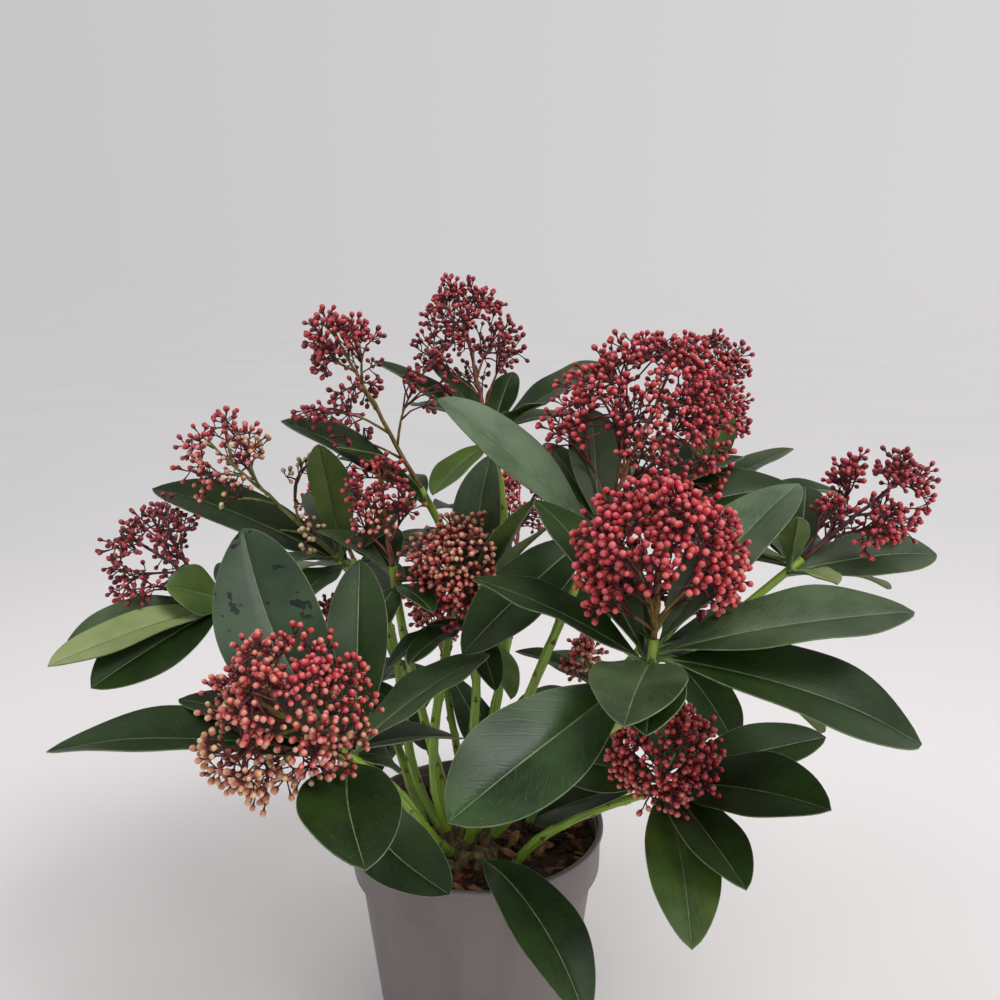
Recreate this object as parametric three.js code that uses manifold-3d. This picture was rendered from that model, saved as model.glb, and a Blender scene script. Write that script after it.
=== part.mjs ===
// A potted skimmia: a low evergreen shrub, Skimmia japonica of the red-budded male kind, in its plastic
// grower pot. Millimetres, +Z up. The origin is the middle of the pot's flat underside, -Y is the front.
//
// The plant is a woody crown at soil level, one tapering stem for each shoot, a whorl of leaves round the
// tip of each stem, and a panicle of closed flower buds standing out of the whorl. Every stem, whorl and
// panicle is a solid of its own, and each starts GAP clear of the one that carries it.

import * as THREE from 'three';
import { mergeVertices } from 'three/addons/utils/BufferGeometryUtils.js';
import Module from 'manifold-3d';

const wasm = await Module();
wasm.setup();

const radians = THREE.MathUtils.degToRad;
const clamp = THREE.MathUtils.clamp;
const lerp = THREE.MathUtils.lerp;

// ---------------------------------------------------------------- driving dimensions, mm and degrees

const GAP = 0.3;

const pot = {
  height: 115, lipRadius: 65, collarRadius: 63.6, collarFoot: 92.5, shoulderRadius: 60,
  bodyFootRadius: 51, bodyFoot: 18, footRadius: 48, wall: 1.5, floor: 2, lipDepth: 3,
  sides: 27, drainHoles: 8, drainRadius: 4, drainRing: 38, drainSides: 6,
};
const soil = { level: 103 };
const crown = { x: -6, y: -13, radius: 16, height: 11, flare: 2.5, knobs: 1.1, clear: 1.8 };
const stem = { footGirth: 2.5, tipGirth: 1.9, sides: 6, steps: 4, footPull: 0.4, tipPull: 0.34 };
const whorl = { half: 8, girth: 2.3, tipGirth: 1.7, spread: 4 };
const leafShape = {
  width: 0.34, arch: 22, roll: 0, bow: 0, fold: 14, thickness: 0.02, thinnest: 0.6, stalk: 0.06, shoulder: 1,
  taper: 0.75, bands: 4, stationSpread: 1.13, root: 0.34, thickened: 2.5,
};
const fanShape = { spare: true, arch: 28, width: 0.36, pitches: [-14, 4, 22], lengths: [0.94, 1, 0.82] };
const panicle = {
  stalkGirth: 1.9, stalkTip: 1.1, stalkReach: 0.75, neck: 0.9, bud: 3.6, sides: 3, sprays: 2, fork: 0.45,
  spreading: 0.62, low: -0.6, belly: 0.6, climb: 0.75, rootBelow: 3, rootReach: 0.6, rootDepth: 1.2,
  skirtDrop: 0.35, skirtStep: 0.4, sprayLow: 0.15, sprayHigh: 0.98, leastRing: 0.4,
  turnPlay: 0.25, sizePlay: 0.1, forkPlay: 0.15, clearance: 0.4, keptFree: 0.85,
};
const GOLDEN_ANGLE = 137.508;

// Each leaf: heading round Z (0 = +X, 90 = away from the front), pitch of its chord above level, length,
// and whatever differs from leafShape.
const leaf = (heading, pitch, length, own = {}) => ({ ...leafShape, heading, pitch, length, ...own });

// A leaf that is left out if it would touch anything else.
const spareLeaf = (heading, pitch, length) => leaf(heading, pitch, length, fanShape);

// Such leaves spread evenly from one heading to another: by turns a drooping, a level and a short rising one.
const fan = (from, to, count, pitch, length) => Array.from({ length: count }, (_, i) => spareLeaf(
  lerp(from, to, i / Math.max(count - 1, 1)),
  pitch + fanShape.pitches[i % 3],
  length * fanShape.lengths[i % 3],
));

// Each shoot: where its whorl is, which way its tip points, where its stem leaves the crown (angle round
// it and tilt off upright) or the soil, how far back its tip keeps it straight if that isn't the usual
// share, its leaves, and the head of buds: how far out its middle is, its half-width and half-length, how
// many branches carry it, how many skirt branches hang below and how much wider they flare, and how far
// down them the buds reach.
const shoots = [
  {
    name: 'far_left', seed: 11, at: [-124, 10, 228], axis: [178, 36], foot: [172, 52],
    head: { reach: 44, wide: 34, tall: 26, branches: 6, low: -0.8 },
    leaves: [
      leaf(207, -5, 80, { roll: -45, width: 0.36 }), leaf(226, -4, 92, { roll: -14, width: 0.26 }),
      leaf(231, -15, 78, { roll: -34, width: 0.4 }),
      leaf(233, 26, 36, { roll: -60, width: 0.72 }), leaf(95, 0, 62), ...fan(60, 150, 4, 2, 64),
    ],
  },
  {
    name: 'left', seed: 12, at: [-67, 23, 244], axis: [186, 45], foot: [144, 50],
    head: { reach: 76, wide: 27, tall: 30, branches: 6, skirt: 3 },
    leaves: [
      leaf(128, 10, 60), leaf(176, 23, 108, { roll: -20 }), leaf(150, 5, 76), leaf(257, -1, 58),
      leaf(260, 66, 72, { width: 0.3 }), leaf(100, 8, 58), leaf(240, 10, 56), ...fan(40, 120, 3, 12, 62),
    ],
  },
  {
    name: 'mid_left', seed: 13, at: [-24, 16, 279], axis: [177, 62], foot: [198, 24],
    head: { reach: 86, wide: 20, tall: 21, branches: 4, skirt: 4, flare: 1.8 },
    leaves: [
      leaf(192, 33, 84, { roll: -20 }), leaf(220, 34, 60), leaf(232, -24, 46), ...fan(70, 160, 3, -4, 60),
    ],
  },
  {
    name: 'top', seed: 14, at: [7, 57, 303], axis: [126, 68], foot: [60, 26],
    head: { reach: 58, wide: 32, tall: 38, branches: 8, low: -0.9 },
    leaves: [
      leaf(164, 33, 80), leaf(144, 46, 56), leaf(239, -19, 58), leaf(73, 38, 52),
      leaf(332, 31, 79, { roll: 30, width: 0.38 }), leaf(313, 26, 47), leaf(30, 5, 60),
      ...fan(85, 130, 2, 2, 72),
    ],
  },
  {
    name: 'mid_right', seed: 15, at: [57, -31, 276], axis: [35, 60], foot: [-30, 20],
    head: { reach: 58, wide: 47, tall: 45, branches: 10, low: -0.9 },
    leaves: [
      leaf(194, 42, 97, { roll: -45, width: 0.29 }), leaf(12, 11, 97, { roll: 25 }), leaf(90, 42, 74),
      leaf(115, 30, 62), leaf(210, -33, 86, { roll: -30 }), leaf(22, 18, 78), ...fan(50, 160, 3, 2, 72),
    ],
  },
  {
    name: 'back_right', seed: 16, at: [131, 99, 261], axis: [66, 73], foot: [45, 52],
    head: { reach: 60, wide: 23, tall: 45, branches: 6, low: -0.8 },
    leaves: [leaf(268, 58, 70), ...fan(-40, 200, 9, 3, 80)],
  },
  {
    name: 'near', seed: 17, at: [69, -114, 248], axis: [60, 80], foot: [-75, 30], pull: 0.15,
    head: { reach: 38, wide: 36, tall: 33, branches: 9, low: -0.9 },
    leaves: [
      leaf(124, 36, 90, { roll: 10 }), leaf(147, 14, 84),
      leaf(223, -14, 103, { roll: -24, width: 0.36, bow: 0.01 }),
      leaf(254, 5, 66, { width: 0.5 }), leaf(260, -3, 58, { width: 0.42 }),
      leaf(357, -17, 108, { roll: 20, width: 0.38 }), leaf(8, 6, 105, { roll: 15 }), leaf(38, 33, 100),
      leaf(22, -29, 96), leaf(31, -7, 94), ...fan(70, 100, 2, 0, 74),
    ],
  },
  {
    name: 'far_right', seed: 18, at: [147, -21, 255], axis: [12, 37], foot: [-7, 43],
    head: { reach: 48, wide: 27, tall: 37, branches: 7, low: -0.9 },
    leaves: [
      leaf(12, 4, 80, { roll: 35 }), leaf(281, 10, 46), leaf(259, 54, 38), leaf(50, 0, 60), leaf(100, 10, 50),
      leaf(71, 26, 60), ...fan(20, 170, 5, 3, 68),
    ],
  },
  {
    name: 'low_right', seed: 19, at: [87, -45, 160], axis: [258, 52], ground: [18, -31], foot: [-14, 20],
    pull: 0.05,
    head: { reach: 29, wide: 30, tall: 24, branches: 6, low: -0.8 },
    leaves: [
      leaf(316, 14, 84, { roll: 22, width: 0.46 }), leaf(269, -13, 90), leaf(285, -3, 80),
      leaf(180, 12, 56, { roll: -45, width: 0.5 }), leaf(4, 13, 78, { roll: 25 }),
      leaf(140, -33, 88, { roll: -25, width: 0.38, bow: 0.05 }), ...fan(30, 100, 3, -4, 72),
    ],
  },
  {
    name: 'inner_left', seed: 20, at: [-37, -22, 250], axis: [235, 80], foot: [128, 28],
    head: { reach: 38, wide: 20, tall: 27, branches: 5, low: -0.8 },
    leaves: [
      leaf(264, -7, 50), leaf(300, -2, 40), leaf(20, -10, 36), leaf(140, 20, 44), leaf(101, 21, 40),
      ...fan(60, 160, 3, 0, 52),
    ],
  },
  {
    name: 'inner', seed: 21, at: [-2, -21, 230], axis: [250, 68], foot: [-60, 4],
    head: { reach: 29, wide: 29, tall: 29, branches: 7, low: -0.8 },
    leaves: [
      leaf(325, 62, 75), leaf(332, 54, 65), leaf(60, 78, 80), leaf(291, 20, 42), leaf(235, -8, 46),
      leaf(290, -32, 42), leaf(143, 2, 56), leaf(205, -24, 46), leaf(46, -61, 60), ...fan(80, 120, 2, 2, 58),
    ],
  },
  {
    name: 'low_left', seed: 22, at: [-48, -98, 199], axis: [222, 43], foot: [244, 48],
    head: { reach: 40, wide: 38, tall: 34, branches: 9, low: -0.9 },
    leaves: [
      leaf(146, 56, 107, { roll: -45, width: 0.4, bow: 0.07 }), leaf(93, 57, 85, { width: 0.3 }),
      leaf(184, 5, 120), leaf(162, 10, 82), leaf(282, -2, 74, { width: 0.5, bow: -0.05 }),
      leaf(326, -40, 66, { roll: 17, width: 0.44, bow: -0.17 }),
      leaf(38, 20, 76), leaf(67, -29, 46, { roll: 40, width: 0.46 }), leaf(55, -18, 80),
      ...fan(110, 140, 2, -8, 68),
    ],
  },
  {
    name: 'foot', seed: 23, at: [1, -37, 116], axis: [-75, 35], foot: [-75, 55], head: null,
    leaves: [leaf(300, -13, 96, { arch: 60 })],
  },
  {
    name: 'low_middle', seed: 27, at: [70, 36, 166], axis: [200, 62], ground: [30, 18], foot: [20, 32],
    head: { reach: 26, wide: 14, tall: 16, branches: 3 },
    leaves: [leaf(215, 8, 62), ...fan(-40, 200, 7, -3, 66)],
  },
  {
    name: 'back_left', seed: 24, at: [-72, 100, 218], axis: [125, 45], foot: [112, 52],
    head: { reach: 40, wide: 28, tall: 26, branches: 4 },
    leaves: fan(10, 330, 9, 1, 86),
  },
  {
    name: 'back', seed: 25, at: [22, 128, 214], axis: [85, 52], foot: [80, 52],
    head: { reach: 38, wide: 29, tall: 27, branches: 4 },
    leaves: fan(-50, 230, 9, 1, 88),
  },
  {
    name: 'right_inner', seed: 26, at: [100, 40, 196], axis: [20, 45], foot: [19, 50],
    head: { reach: 36, wide: 25, tall: 24, branches: 4 },
    leaves: fan(-70, 130, 7, -2, 84),
  },
  {
    name: 'low_back', seed: 28, at: [-20, 82, 160], axis: [100, 42], ground: [-6, 16], foot: [98, 42],
    head: { reach: 34, wide: 23, tall: 21, branches: 4 },
    leaves: [...fan(-30, 230, 9, -4, 80), spareLeaf(225, -42, 66), spareLeaf(305, -42, 66)],
  },
  {
    name: 'low_back_left', seed: 29, at: [-66, 50, 170], axis: [150, 40], ground: [-26, 4], foot: [130, 44],
    head: { reach: 34, wide: 23, tall: 21, branches: 4 },
    leaves: [...fan(30, 290, 9, -3, 78), spareLeaf(290, -45, 60), spareLeaf(325, -30, 60)],
  },
];

// ---------------------------------------------------------------- small tools

function direction(heading, pitch) {
  const h = radians(heading);
  const p = radians(pitch);
  return new THREE.Vector3(Math.cos(p) * Math.cos(h), Math.cos(p) * Math.sin(h), Math.sin(p));
}

// A repeatable run of numbers from 0 to 1, one run for each seed.
function dice(seed) {
  let state = seed * 7919;
  return (low = 0, high = 1) => {
    state = (Math.imul(state, 1664525) + 1013904223) >>> 0;
    return low + (high - low) * (state / 4294967296);
  };
}

// Keeps only the positions of a geometry, joins its vertices and moves each by the given rule.
function reshape(geometry, rule) {
  const bare = new THREE.BufferGeometry();
  bare.setIndex(geometry.getIndex());
  bare.setAttribute('position', geometry.getAttribute('position'));
  const joined = mergeVertices(bare, 1e-5);
  const position = joined.getAttribute('position');
  const point = new THREE.Vector3();
  for (let i = 0; i < position.count; i++) {
    point.fromBufferAttribute(position, i);
    const moved = rule(point.clone());
    position.setXYZ(i, moved.x, moved.y, moved.z);
  }
  return joined;
}

function toSolid(geometry) {
  const vertProperties = new Float32Array(geometry.getAttribute('position').array);
  const triVerts = new Uint32Array(geometry.getIndex().array);
  return new wasm.Manifold(new wasm.Mesh({ numProp: 3, vertProperties, triVerts }));
}

function toGeometry(solid) {
  const mesh = solid.getMesh();
  const geometry = new THREE.BufferGeometry();
  geometry.setAttribute('position', new THREE.BufferAttribute(mesh.vertProperties, 3));
  geometry.setIndex(new THREE.BufferAttribute(mesh.triVerts, 1));
  geometry.computeVertexNormals();
  return geometry;
}

// Joins solids into one body, and drops any scrap that doesn't touch the main one.
function fuse(solids) {
  const pieces = wasm.Manifold.union(solids).decompose();
  pieces.sort((a, b) => b.volume() - a.volume());
  return toGeometry(pieces[0]);
}

// A tapering limb of a few sides along a curve, with flat ends square to it.
function limb(curve, footRadius, tipRadius, sides, steps) {
  const frames = curve.computeFrenetFrames(steps, false);
  const column = new THREE.CylinderGeometry(1, 1, 1, sides, steps);
  return reshape(column, (point) => {
    const along = clamp(point.y + 0.5, 0, 1);
    const step = Math.round(along * steps);
    const radius = lerp(footRadius, tipRadius, along);
    const centre = curve.getPointAt(along);
    return centre
      .addScaledVector(frames.normals[step], point.z * radius)
      .addScaledVector(frames.binormals[step], point.x * radius);
  });
}

function straightLimb(from, to, footRadius, tipRadius, sides) {
  return limb(new THREE.LineCurve3(from, to), footRadius, tipRadius, sides, 1);
}

// ---------------------------------------------------------------- leaves

// The leaf's half-width at a share of its length, as a share of its greatest half-width.
function leafProfile(shape, t) {
  const rise = clamp((t - shape.stalk) / (1 - shape.stalk), 0, 1);
  const peak = shape.shoulder / (shape.shoulder + shape.taper);
  const value = (u) => u ** shape.shoulder * (1 - u) ** shape.taper;
  return value(rise) / value(peak);
}

// The frame of a leaf: along its chord, across it, and out of its upper face.
function leafFrame(shape) {
  const along = direction(shape.heading, shape.pitch);
  const level = direction(shape.heading + 90, 0);
  const upright = along.clone().cross(level);
  const roll = radians(shape.roll);
  const across = level.clone().multiplyScalar(Math.cos(roll)).addScaledVector(upright, Math.sin(roll));
  return { along, across, out: along.clone().cross(across) };
}

// The midrib is an arc over the chord: how far along and how far off it at share t of the leaf.
function midrib(shape, t) {
  const half = radians(shape.arch) / 2;
  const radius = shape.length / (2 * Math.sin(half));
  const turn = half - 2 * half * t;
  return {
    along: radius * (Math.sin(half) - Math.sin(turn)),
    lift: radius * (Math.cos(turn) - Math.cos(half)),
  };
}

// A leaf is a ball of four meridians drawn out along the midrib: two are its edges, the others its ribs
// above and below.
function leafGeometry(shape, base) {
  const frame = leafFrame(shape);
  const halfWidth = shape.length * shape.width / 2;
  const ball = new THREE.SphereGeometry(1, 4, shape.bands);
  return reshape(ball, (point) => {
    const band = Math.acos(clamp(point.y, -1, 1)) / Math.PI;
    const t = clamp(0.5 + shape.stationSpread * (band - 0.5), 0, 1);
    const pole = Math.sin(band * Math.PI) < 1e-3;
    const side = pole ? 0 : point.x / Math.sin(band * Math.PI);
    const face = pole ? 0 : point.z / Math.sin(band * Math.PI);
    const share = leafProfile(shape, t);
    const rib = midrib(shape, t);
    const thick = shape.length * shape.thickness * lerp(shape.thinnest, 1, share);
    const width = Math.max(share * halfWidth, pole ? 0 : thick);
    const lift = rib.lift + Math.abs(side) * width * Math.tan(radians(shape.fold)) + face * thick / 2;
    const bow = shape.bow * shape.length * Math.sin(Math.PI * t);
    return base.clone()
      .addScaledVector(frame.along, rib.along)
      .addScaledVector(frame.across, side * width + bow)
      .addScaledVector(frame.out, lift);
  });
}

// Where a leaf leaves the twig: the leaves placed one by one share its length evenly, and so do the others.
function leafBase(shoot, shape) {
  const kind = shoot.leaves.filter((other) => Boolean(other.spare) === Boolean(shape.spare));
  const step = kind.length > 1 ? kind.indexOf(shape) / (kind.length - 1) : 0.5;
  return shoot.centre.clone().addScaledVector(shoot.tipWay, lerp(-whorl.spread, whorl.spread, step));
}

// ---------------------------------------------------------------- panicles

// The bud sprays of a head. A branch ends on an egg round the head's middle, laid out by the golden angle,
// and bears side sprays that end beside it on the same egg. A skirt branch comes off the stalk below.
function headPlan(shoot) {
  const roll = dice(shoot.seed);
  const { reach, wide, tall, branches, skirt = 0, flare = 1, low = panicle.low } = shoot.head;
  const side = new THREE.Vector3(0, 0, 1).cross(shoot.tipWay).normalize();
  const other = shoot.tipWay.clone().cross(side);
  const place = (up, out, turn) => shoot.centre.clone()
    .addScaledVector(shoot.tipWay, up)
    .addScaledVector(side, out * Math.cos(turn))
    .addScaledVector(other, out * Math.sin(turn));
  const onEgg = (level, turn, size, spread) => {
    const ring = Math.sqrt(1 - level * level * (level < 0 ? panicle.belly : 1)) * spread;
    return place(reach + (tall - panicle.bud) * level * size, (wide - panicle.bud) * ring * size, turn);
  };
  const stalkStart = whorl.half + GAP + panicle.stalkGirth;
  const apart = Math.sqrt(2 * (1 - low) / branches) * panicle.spreading;
  const plan = [];
  for (let i = 0; i < branches + skirt; i++) {
    const hanging = i >= branches;
    const turn = radians(i * GOLDEN_ANGLE) + roll(-panicle.turnPlay, panicle.turnPlay);
    const level = hanging ? low : 1 - (i + 0.5) / branches * (1 - low);
    const size = roll(1 - panicle.sizePlay, 1);
    const drop = hanging ? tall * (panicle.skirtDrop + panicle.skirtStep * (i - branches)) : 0;
    const spread = hanging ? flare : 1;
    const end = onEgg(level, turn, size, spread).addScaledVector(shoot.tipWay, -drop);
    const up = end.clone().sub(shoot.centre).dot(shoot.tipWay);
    const out = place(up, 0, 0).distanceTo(end);
    const rootUp = up - panicle.climb * out - panicle.rootBelow;
    const root = place(clamp(rootUp, stalkStart, reach + tall * panicle.rootReach), 0, 0);
    plan.push({ root, tip: end });
    const spin = roll(0, 360);
    for (let k = 0; k < panicle.sprays; k++) {
      const lean = radians(spin + k * 360 / panicle.sprays);
      const nextLevel = clamp(level + apart * Math.sin(lean), low - panicle.sprayLow, panicle.sprayHigh);
      const ring = Math.max(Math.sqrt(1 - level * level), panicle.leastRing);
      const nextTurn = turn + apart * Math.cos(lean) / ring;
      const tip = onEgg(nextLevel, nextTurn, size, spread).addScaledVector(shoot.tipWay, -drop);
      const fork = panicle.fork * roll(1 - panicle.forkPlay, 1 + panicle.forkPlay);
      plan.push({ root: root.clone().lerp(end, fork), tip, side: true });
    }
  }
  return plan;
}

// A spray is a ball of a few meridians drawn out into a stalk with a round end, its root sunk in what
// bears it.
function sprayGeometry({ root, tip }, swell = 0) {
  const line = tip.clone().sub(root);
  const along = line.clone().normalize();
  const from = root.clone().addScaledVector(along, -panicle.rootDepth);
  const length = line.length() + panicle.rootDepth + panicle.bud;
  const across = new THREE.Vector3(0, 0, 1).cross(along).normalize();
  const other = along.clone().cross(across);
  const stations = [0, (length - 2 * panicle.bud) / length, (length - panicle.bud) / length, 1];
  const girths = [0, panicle.neck + swell, panicle.bud + swell, 0];
  const ball = new THREE.SphereGeometry(1, panicle.sides, 3);
  return reshape(ball, (point) => {
    const station = Math.round(Math.acos(clamp(point.y, -1, 1)) / Math.PI * 3);
    const ring = Math.max(Math.sin(station / 3 * Math.PI), 1e-3);
    return from.clone()
      .addScaledVector(along, stations[station] * length)
      .addScaledVector(across, point.x / ring * girths[station])
      .addScaledVector(other, point.z / ring * girths[station]);
  });
}

// ---------------------------------------------------------------- finishes

const material = (color, roughness) => new THREE.MeshStandardMaterial({ color, roughness, metalness: 0 });
const potPlastic = material(0x6f6769, 0.45);
const pottingMix = material(0x3a2a20, 0.95);
const wood = material(0x5d4a33, 0.85);
const greenBark = material(0x6f9a3d, 0.5);
const leafGreen = material(0x24442a, 0.4);
const budRed = material(0xa3262c, 0.5);

const plant = new THREE.Group();

function add(name, geometry, finish) {
  const mesh = new THREE.Mesh(geometry, finish);
  mesh.name = name;
  plant.add(mesh);
  return mesh;
}

// ---------------------------------------------------------------- pot and soil

function lathe(profile) {
  const points = profile.map(([radius, height]) => new THREE.Vector2(radius, height));
  const turned = new THREE.LatheGeometry(points, pot.sides);
  turned.rotateX(Math.PI / 2);
  return reshape(turned, (point) => point);
}

function potGeometry() {
  const inner = pot.wall;
  const lipFoot = pot.height - pot.lipDepth;
  const shell = lathe([
    [0, 0], [pot.footRadius, 0], [pot.footRadius + 0.4, pot.bodyFoot - 2], [pot.bodyFootRadius, pot.bodyFoot],
    [pot.shoulderRadius, pot.collarFoot - 1], [pot.collarRadius - 0.6, pot.collarFoot],
    [pot.collarRadius, lipFoot], [pot.lipRadius, lipFoot + 0.6], [pot.lipRadius, pot.height - 0.7],
    [pot.lipRadius - 0.7, pot.height], [pot.collarRadius - inner, pot.height],
    [pot.collarRadius - inner - 0.4, pot.collarFoot + 1.2], [pot.shoulderRadius - inner, pot.collarFoot - 2],
    [pot.bodyFootRadius - inner, pot.bodyFoot], [pot.footRadius - inner, pot.bodyFoot - 3],
    [pot.footRadius - inner, pot.floor], [0, pot.floor],
  ]);
  const holes = [];
  for (let i = 0; i < pot.drainHoles; i++) {
    const turn = radians(360 / pot.drainHoles * (i + 0.5));
    const hole = new THREE.CylinderGeometry(pot.drainRadius, pot.drainRadius, pot.floor * 4, pot.drainSides);
    hole.rotateX(Math.PI / 2);
    hole.translate(pot.drainRing * Math.cos(turn), pot.drainRing * Math.sin(turn), 0);
    holes.push(toSolid(reshape(hole, (point) => point)));
  }
  return toGeometry(toSolid(shell).subtract(wasm.Manifold.union(holes)));
}

function soilGeometry() {
  const off = pot.wall + GAP;
  return lathe([
    [0, pot.floor + GAP], [pot.footRadius - off, pot.floor + GAP], [pot.footRadius - off, pot.bodyFoot - 3],
    [pot.bodyFootRadius - off, pot.bodyFoot], [pot.shoulderRadius - off, pot.collarFoot - 1.8],
    [pot.collarRadius - off - 0.5, pot.collarFoot + 1.5], [pot.collarRadius - off - 0.3, soil.level],
    [0, soil.level],
  ]);
}

add('pot', potGeometry(), potPlastic);
add('potting_soil', soilGeometry(), pottingMix);

// ---------------------------------------------------------------- crown and shoots

const ground = soil.level + GAP;
const crownMiddle = new THREE.Vector3(crown.x, crown.y, ground + crown.height - crown.radius);

// The woody crown: a knobbly dome with a flare, cut flat where it meets the soil.
function crownGeometry() {
  const roll = dice(5);
  const dome = new THREE.SphereGeometry(crown.radius, 12, 8);
  dome.rotateX(Math.PI / 2);
  const knobbly = reshape(dome, (point) => {
    const height = crownMiddle.z + point.z - ground;
    const flare = crown.flare * clamp(1 - height / crown.height, 0, 1);
    const push = 1 + (flare - crown.knobs * roll()) / crown.radius;
    return new THREE.Vector3(point.x * push, point.y * push, point.z).add(crownMiddle);
  });
  return toGeometry(toSolid(knobbly).trimByPlane([0, 0, 1], ground));
}

add('crown', crownGeometry(), wood);

for (const shoot of shoots) {
  shoot.centre = new THREE.Vector3(...shoot.at);
  shoot.tipWay = direction(...shoot.axis);
}

function stemCurve(shoot) {
  const [angle, tilt] = shoot.foot;
  const lean = direction(angle, 90 - tilt);
  const start = shoot.ground
    ? new THREE.Vector3(...shoot.ground, ground + stem.footGirth * Math.sin(radians(tilt)))
    : crownMiddle.clone().addScaledVector(lean, crown.radius + crown.clear);
  const end = shoot.centre.clone().addScaledVector(shoot.tipWay, -whorl.half - GAP);
  const span = start.distanceTo(end);
  const { pull = stem.tipPull } = shoot;
  return new THREE.CubicBezierCurve3(
    start,
    start.clone().addScaledVector(lean, span * stem.footPull),
    end.clone().addScaledVector(shoot.tipWay, -span * pull),
    end,
  );
}

// The twig of a whorl with the leaves that were placed one by one.
function whorlSolid(shoot) {
  const from = shoot.centre.clone().addScaledVector(shoot.tipWay, -whorl.half);
  const to = shoot.centre.clone().addScaledVector(shoot.tipWay, whorl.half);
  const leaves = shoot.leaves.filter(({ spare }) => !spare);
  const parts = leaves.map((shape) => leafGeometry(shape, leafBase(shoot, shape)));
  parts.push(straightLimb(from, to, whorl.girth, whorl.tipGirth, stem.sides));
  return wasm.Manifold.union(parts.map(toSolid));
}

// The space that a head's buds need.
function headSpace({ head, tipWay, centre }) {
  const egg = new THREE.SphereGeometry(panicle.keptFree, 10, 8);
  egg.scale(head.wide, head.tall, head.wide);
  egg.applyQuaternion(new THREE.Quaternion().setFromUnitVectors(new THREE.Vector3(0, 1, 0), tipWay));
  egg.translate(...centre.clone().addScaledVector(tipWay, head.reach));
  return toSolid(reshape(egg, (point) => point));
}

const touches = (solid, others) => others.some((other) => !solid.intersect(other).isEmpty());

// Adds the leaves of a whorl's fans that keep clear of all else, and, past their roots, of its own leaves.
function withFans(shoot, mass, others) {
  let grown = mass;
  for (const shape of shoot.leaves.filter(({ spare }) => spare)) {
    const base = leafBase(shoot, shape);
    const thick = toSolid(leafGeometry({ ...shape, thickness: shape.thickness * shape.thickened }, base));
    const { along } = leafFrame(shape);
    const outer = thick.trimByPlane(along.toArray(), base.dot(along) + shape.root * shape.length);
    if (!touches(thick, others) && !touches(outer, [grown])) {
      grown = grown.add(toSolid(leafGeometry(shape, base)));
    }
  }
  return grown;
}

function stalkGeometry({ head, tipWay, centre }) {
  const from = centre.clone().addScaledVector(tipWay, whorl.half + GAP);
  const to = centre.clone().addScaledVector(tipWay, head.reach + head.tall * panicle.stalkReach);
  return straightLimb(from, to, panicle.stalkGirth, panicle.stalkTip, stem.sides);
}

function panicleGeometry(shoot, others) {
  const parts = [stalkGeometry(shoot)];
  let carried = false;
  for (const spray of headPlan(shoot)) {
    const clear = !touches(toSolid(sprayGeometry(spray, panicle.clearance)), others);
    if (!spray.side) {
      carried = clear;
    }
    if (clear && carried) {
      parts.push(sprayGeometry(spray));
    }
  }
  return fuse(parts.map(toSolid));
}

// Everything grows in turn, and what grows later keeps clear of what is there.
const { footGirth, tipGirth, sides, steps } = stem;
const stems = shoots.map((shoot) => limb(stemCurve(shoot), footGirth, tipGirth, sides, steps));
const masses = shoots.map(whorlSolid);
const heads = shoots.filter(({ head }) => head);
const fixed = [...stems.map(toSolid), ...heads.map(headSpace), ...heads.map(stalkGeometry).map(toSolid)];

shoots.forEach((shoot, i) => {
  masses[i] = withFans(shoot, masses[i], [...fixed, ...masses.filter((_, other) => other !== i)]);
});
shoots.forEach(({ name }, i) => {
  add(`stem_${name}`, stems[i], greenBark);
  add(`leaves_${name}`, fuse([masses[i]]), leafGreen);
});

const grown = [...stems.map(toSolid), ...masses];
for (const shoot of heads) {
  const buds = panicleGeometry(shoot, grown);
  grown.push(toSolid(buds));
  add(`panicle_${shoot.name}`, buds, budRed);
}

export default plant;
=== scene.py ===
"""The looks of a potted skimmia: a low evergreen shrub with heads of closed red buds, in its grower pot.

The plant is a woody crown at soil level, one stem for each shoot, a whorl of leathery leaves round the tip
of each stem, and a panicle of buds standing out of the whorl. The classes' own sizes are millimetres and
degrees, and a piece becomes metres when it is made. +Z is up and -Y is the front.
"""

import logging
import math
from dataclasses import dataclass, field
from enum import Enum
from functools import cache
from typing import Any, ClassVar, Iterable, Sequence

import bmesh
import bpy
import numpy as np
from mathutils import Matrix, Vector, noise
from mathutils.bvhtree import BVHTree

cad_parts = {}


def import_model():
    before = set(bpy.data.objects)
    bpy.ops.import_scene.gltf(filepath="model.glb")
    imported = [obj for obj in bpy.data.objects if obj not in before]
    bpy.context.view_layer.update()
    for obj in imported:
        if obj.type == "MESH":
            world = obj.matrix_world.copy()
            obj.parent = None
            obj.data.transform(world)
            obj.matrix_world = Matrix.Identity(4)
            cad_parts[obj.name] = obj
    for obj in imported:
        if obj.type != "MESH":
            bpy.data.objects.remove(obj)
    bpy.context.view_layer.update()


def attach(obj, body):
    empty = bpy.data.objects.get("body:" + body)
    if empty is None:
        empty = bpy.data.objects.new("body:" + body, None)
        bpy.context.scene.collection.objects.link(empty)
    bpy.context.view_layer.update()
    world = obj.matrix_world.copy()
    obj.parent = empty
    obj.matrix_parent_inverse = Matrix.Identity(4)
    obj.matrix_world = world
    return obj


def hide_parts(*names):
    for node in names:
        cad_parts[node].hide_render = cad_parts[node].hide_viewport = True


log = logging.getLogger("skimmia")

Colour = tuple[float, float, float, float]

MM = 0.001
GOLDEN_ANGLE = 137.508

# The leaves of a fan in turn: degrees steeper than the fan's pitch, and the share of its length.
FAN_PITCHES = (-14, 4, 22)
FAN_LENGTHS = (0.94, 1, 0.82)

# Side veins on each half of a leaf, and how many of their spaces one climbs on its way to the edge.
VEINS = 12.0
VEIN_SLANT = 3.0

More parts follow.
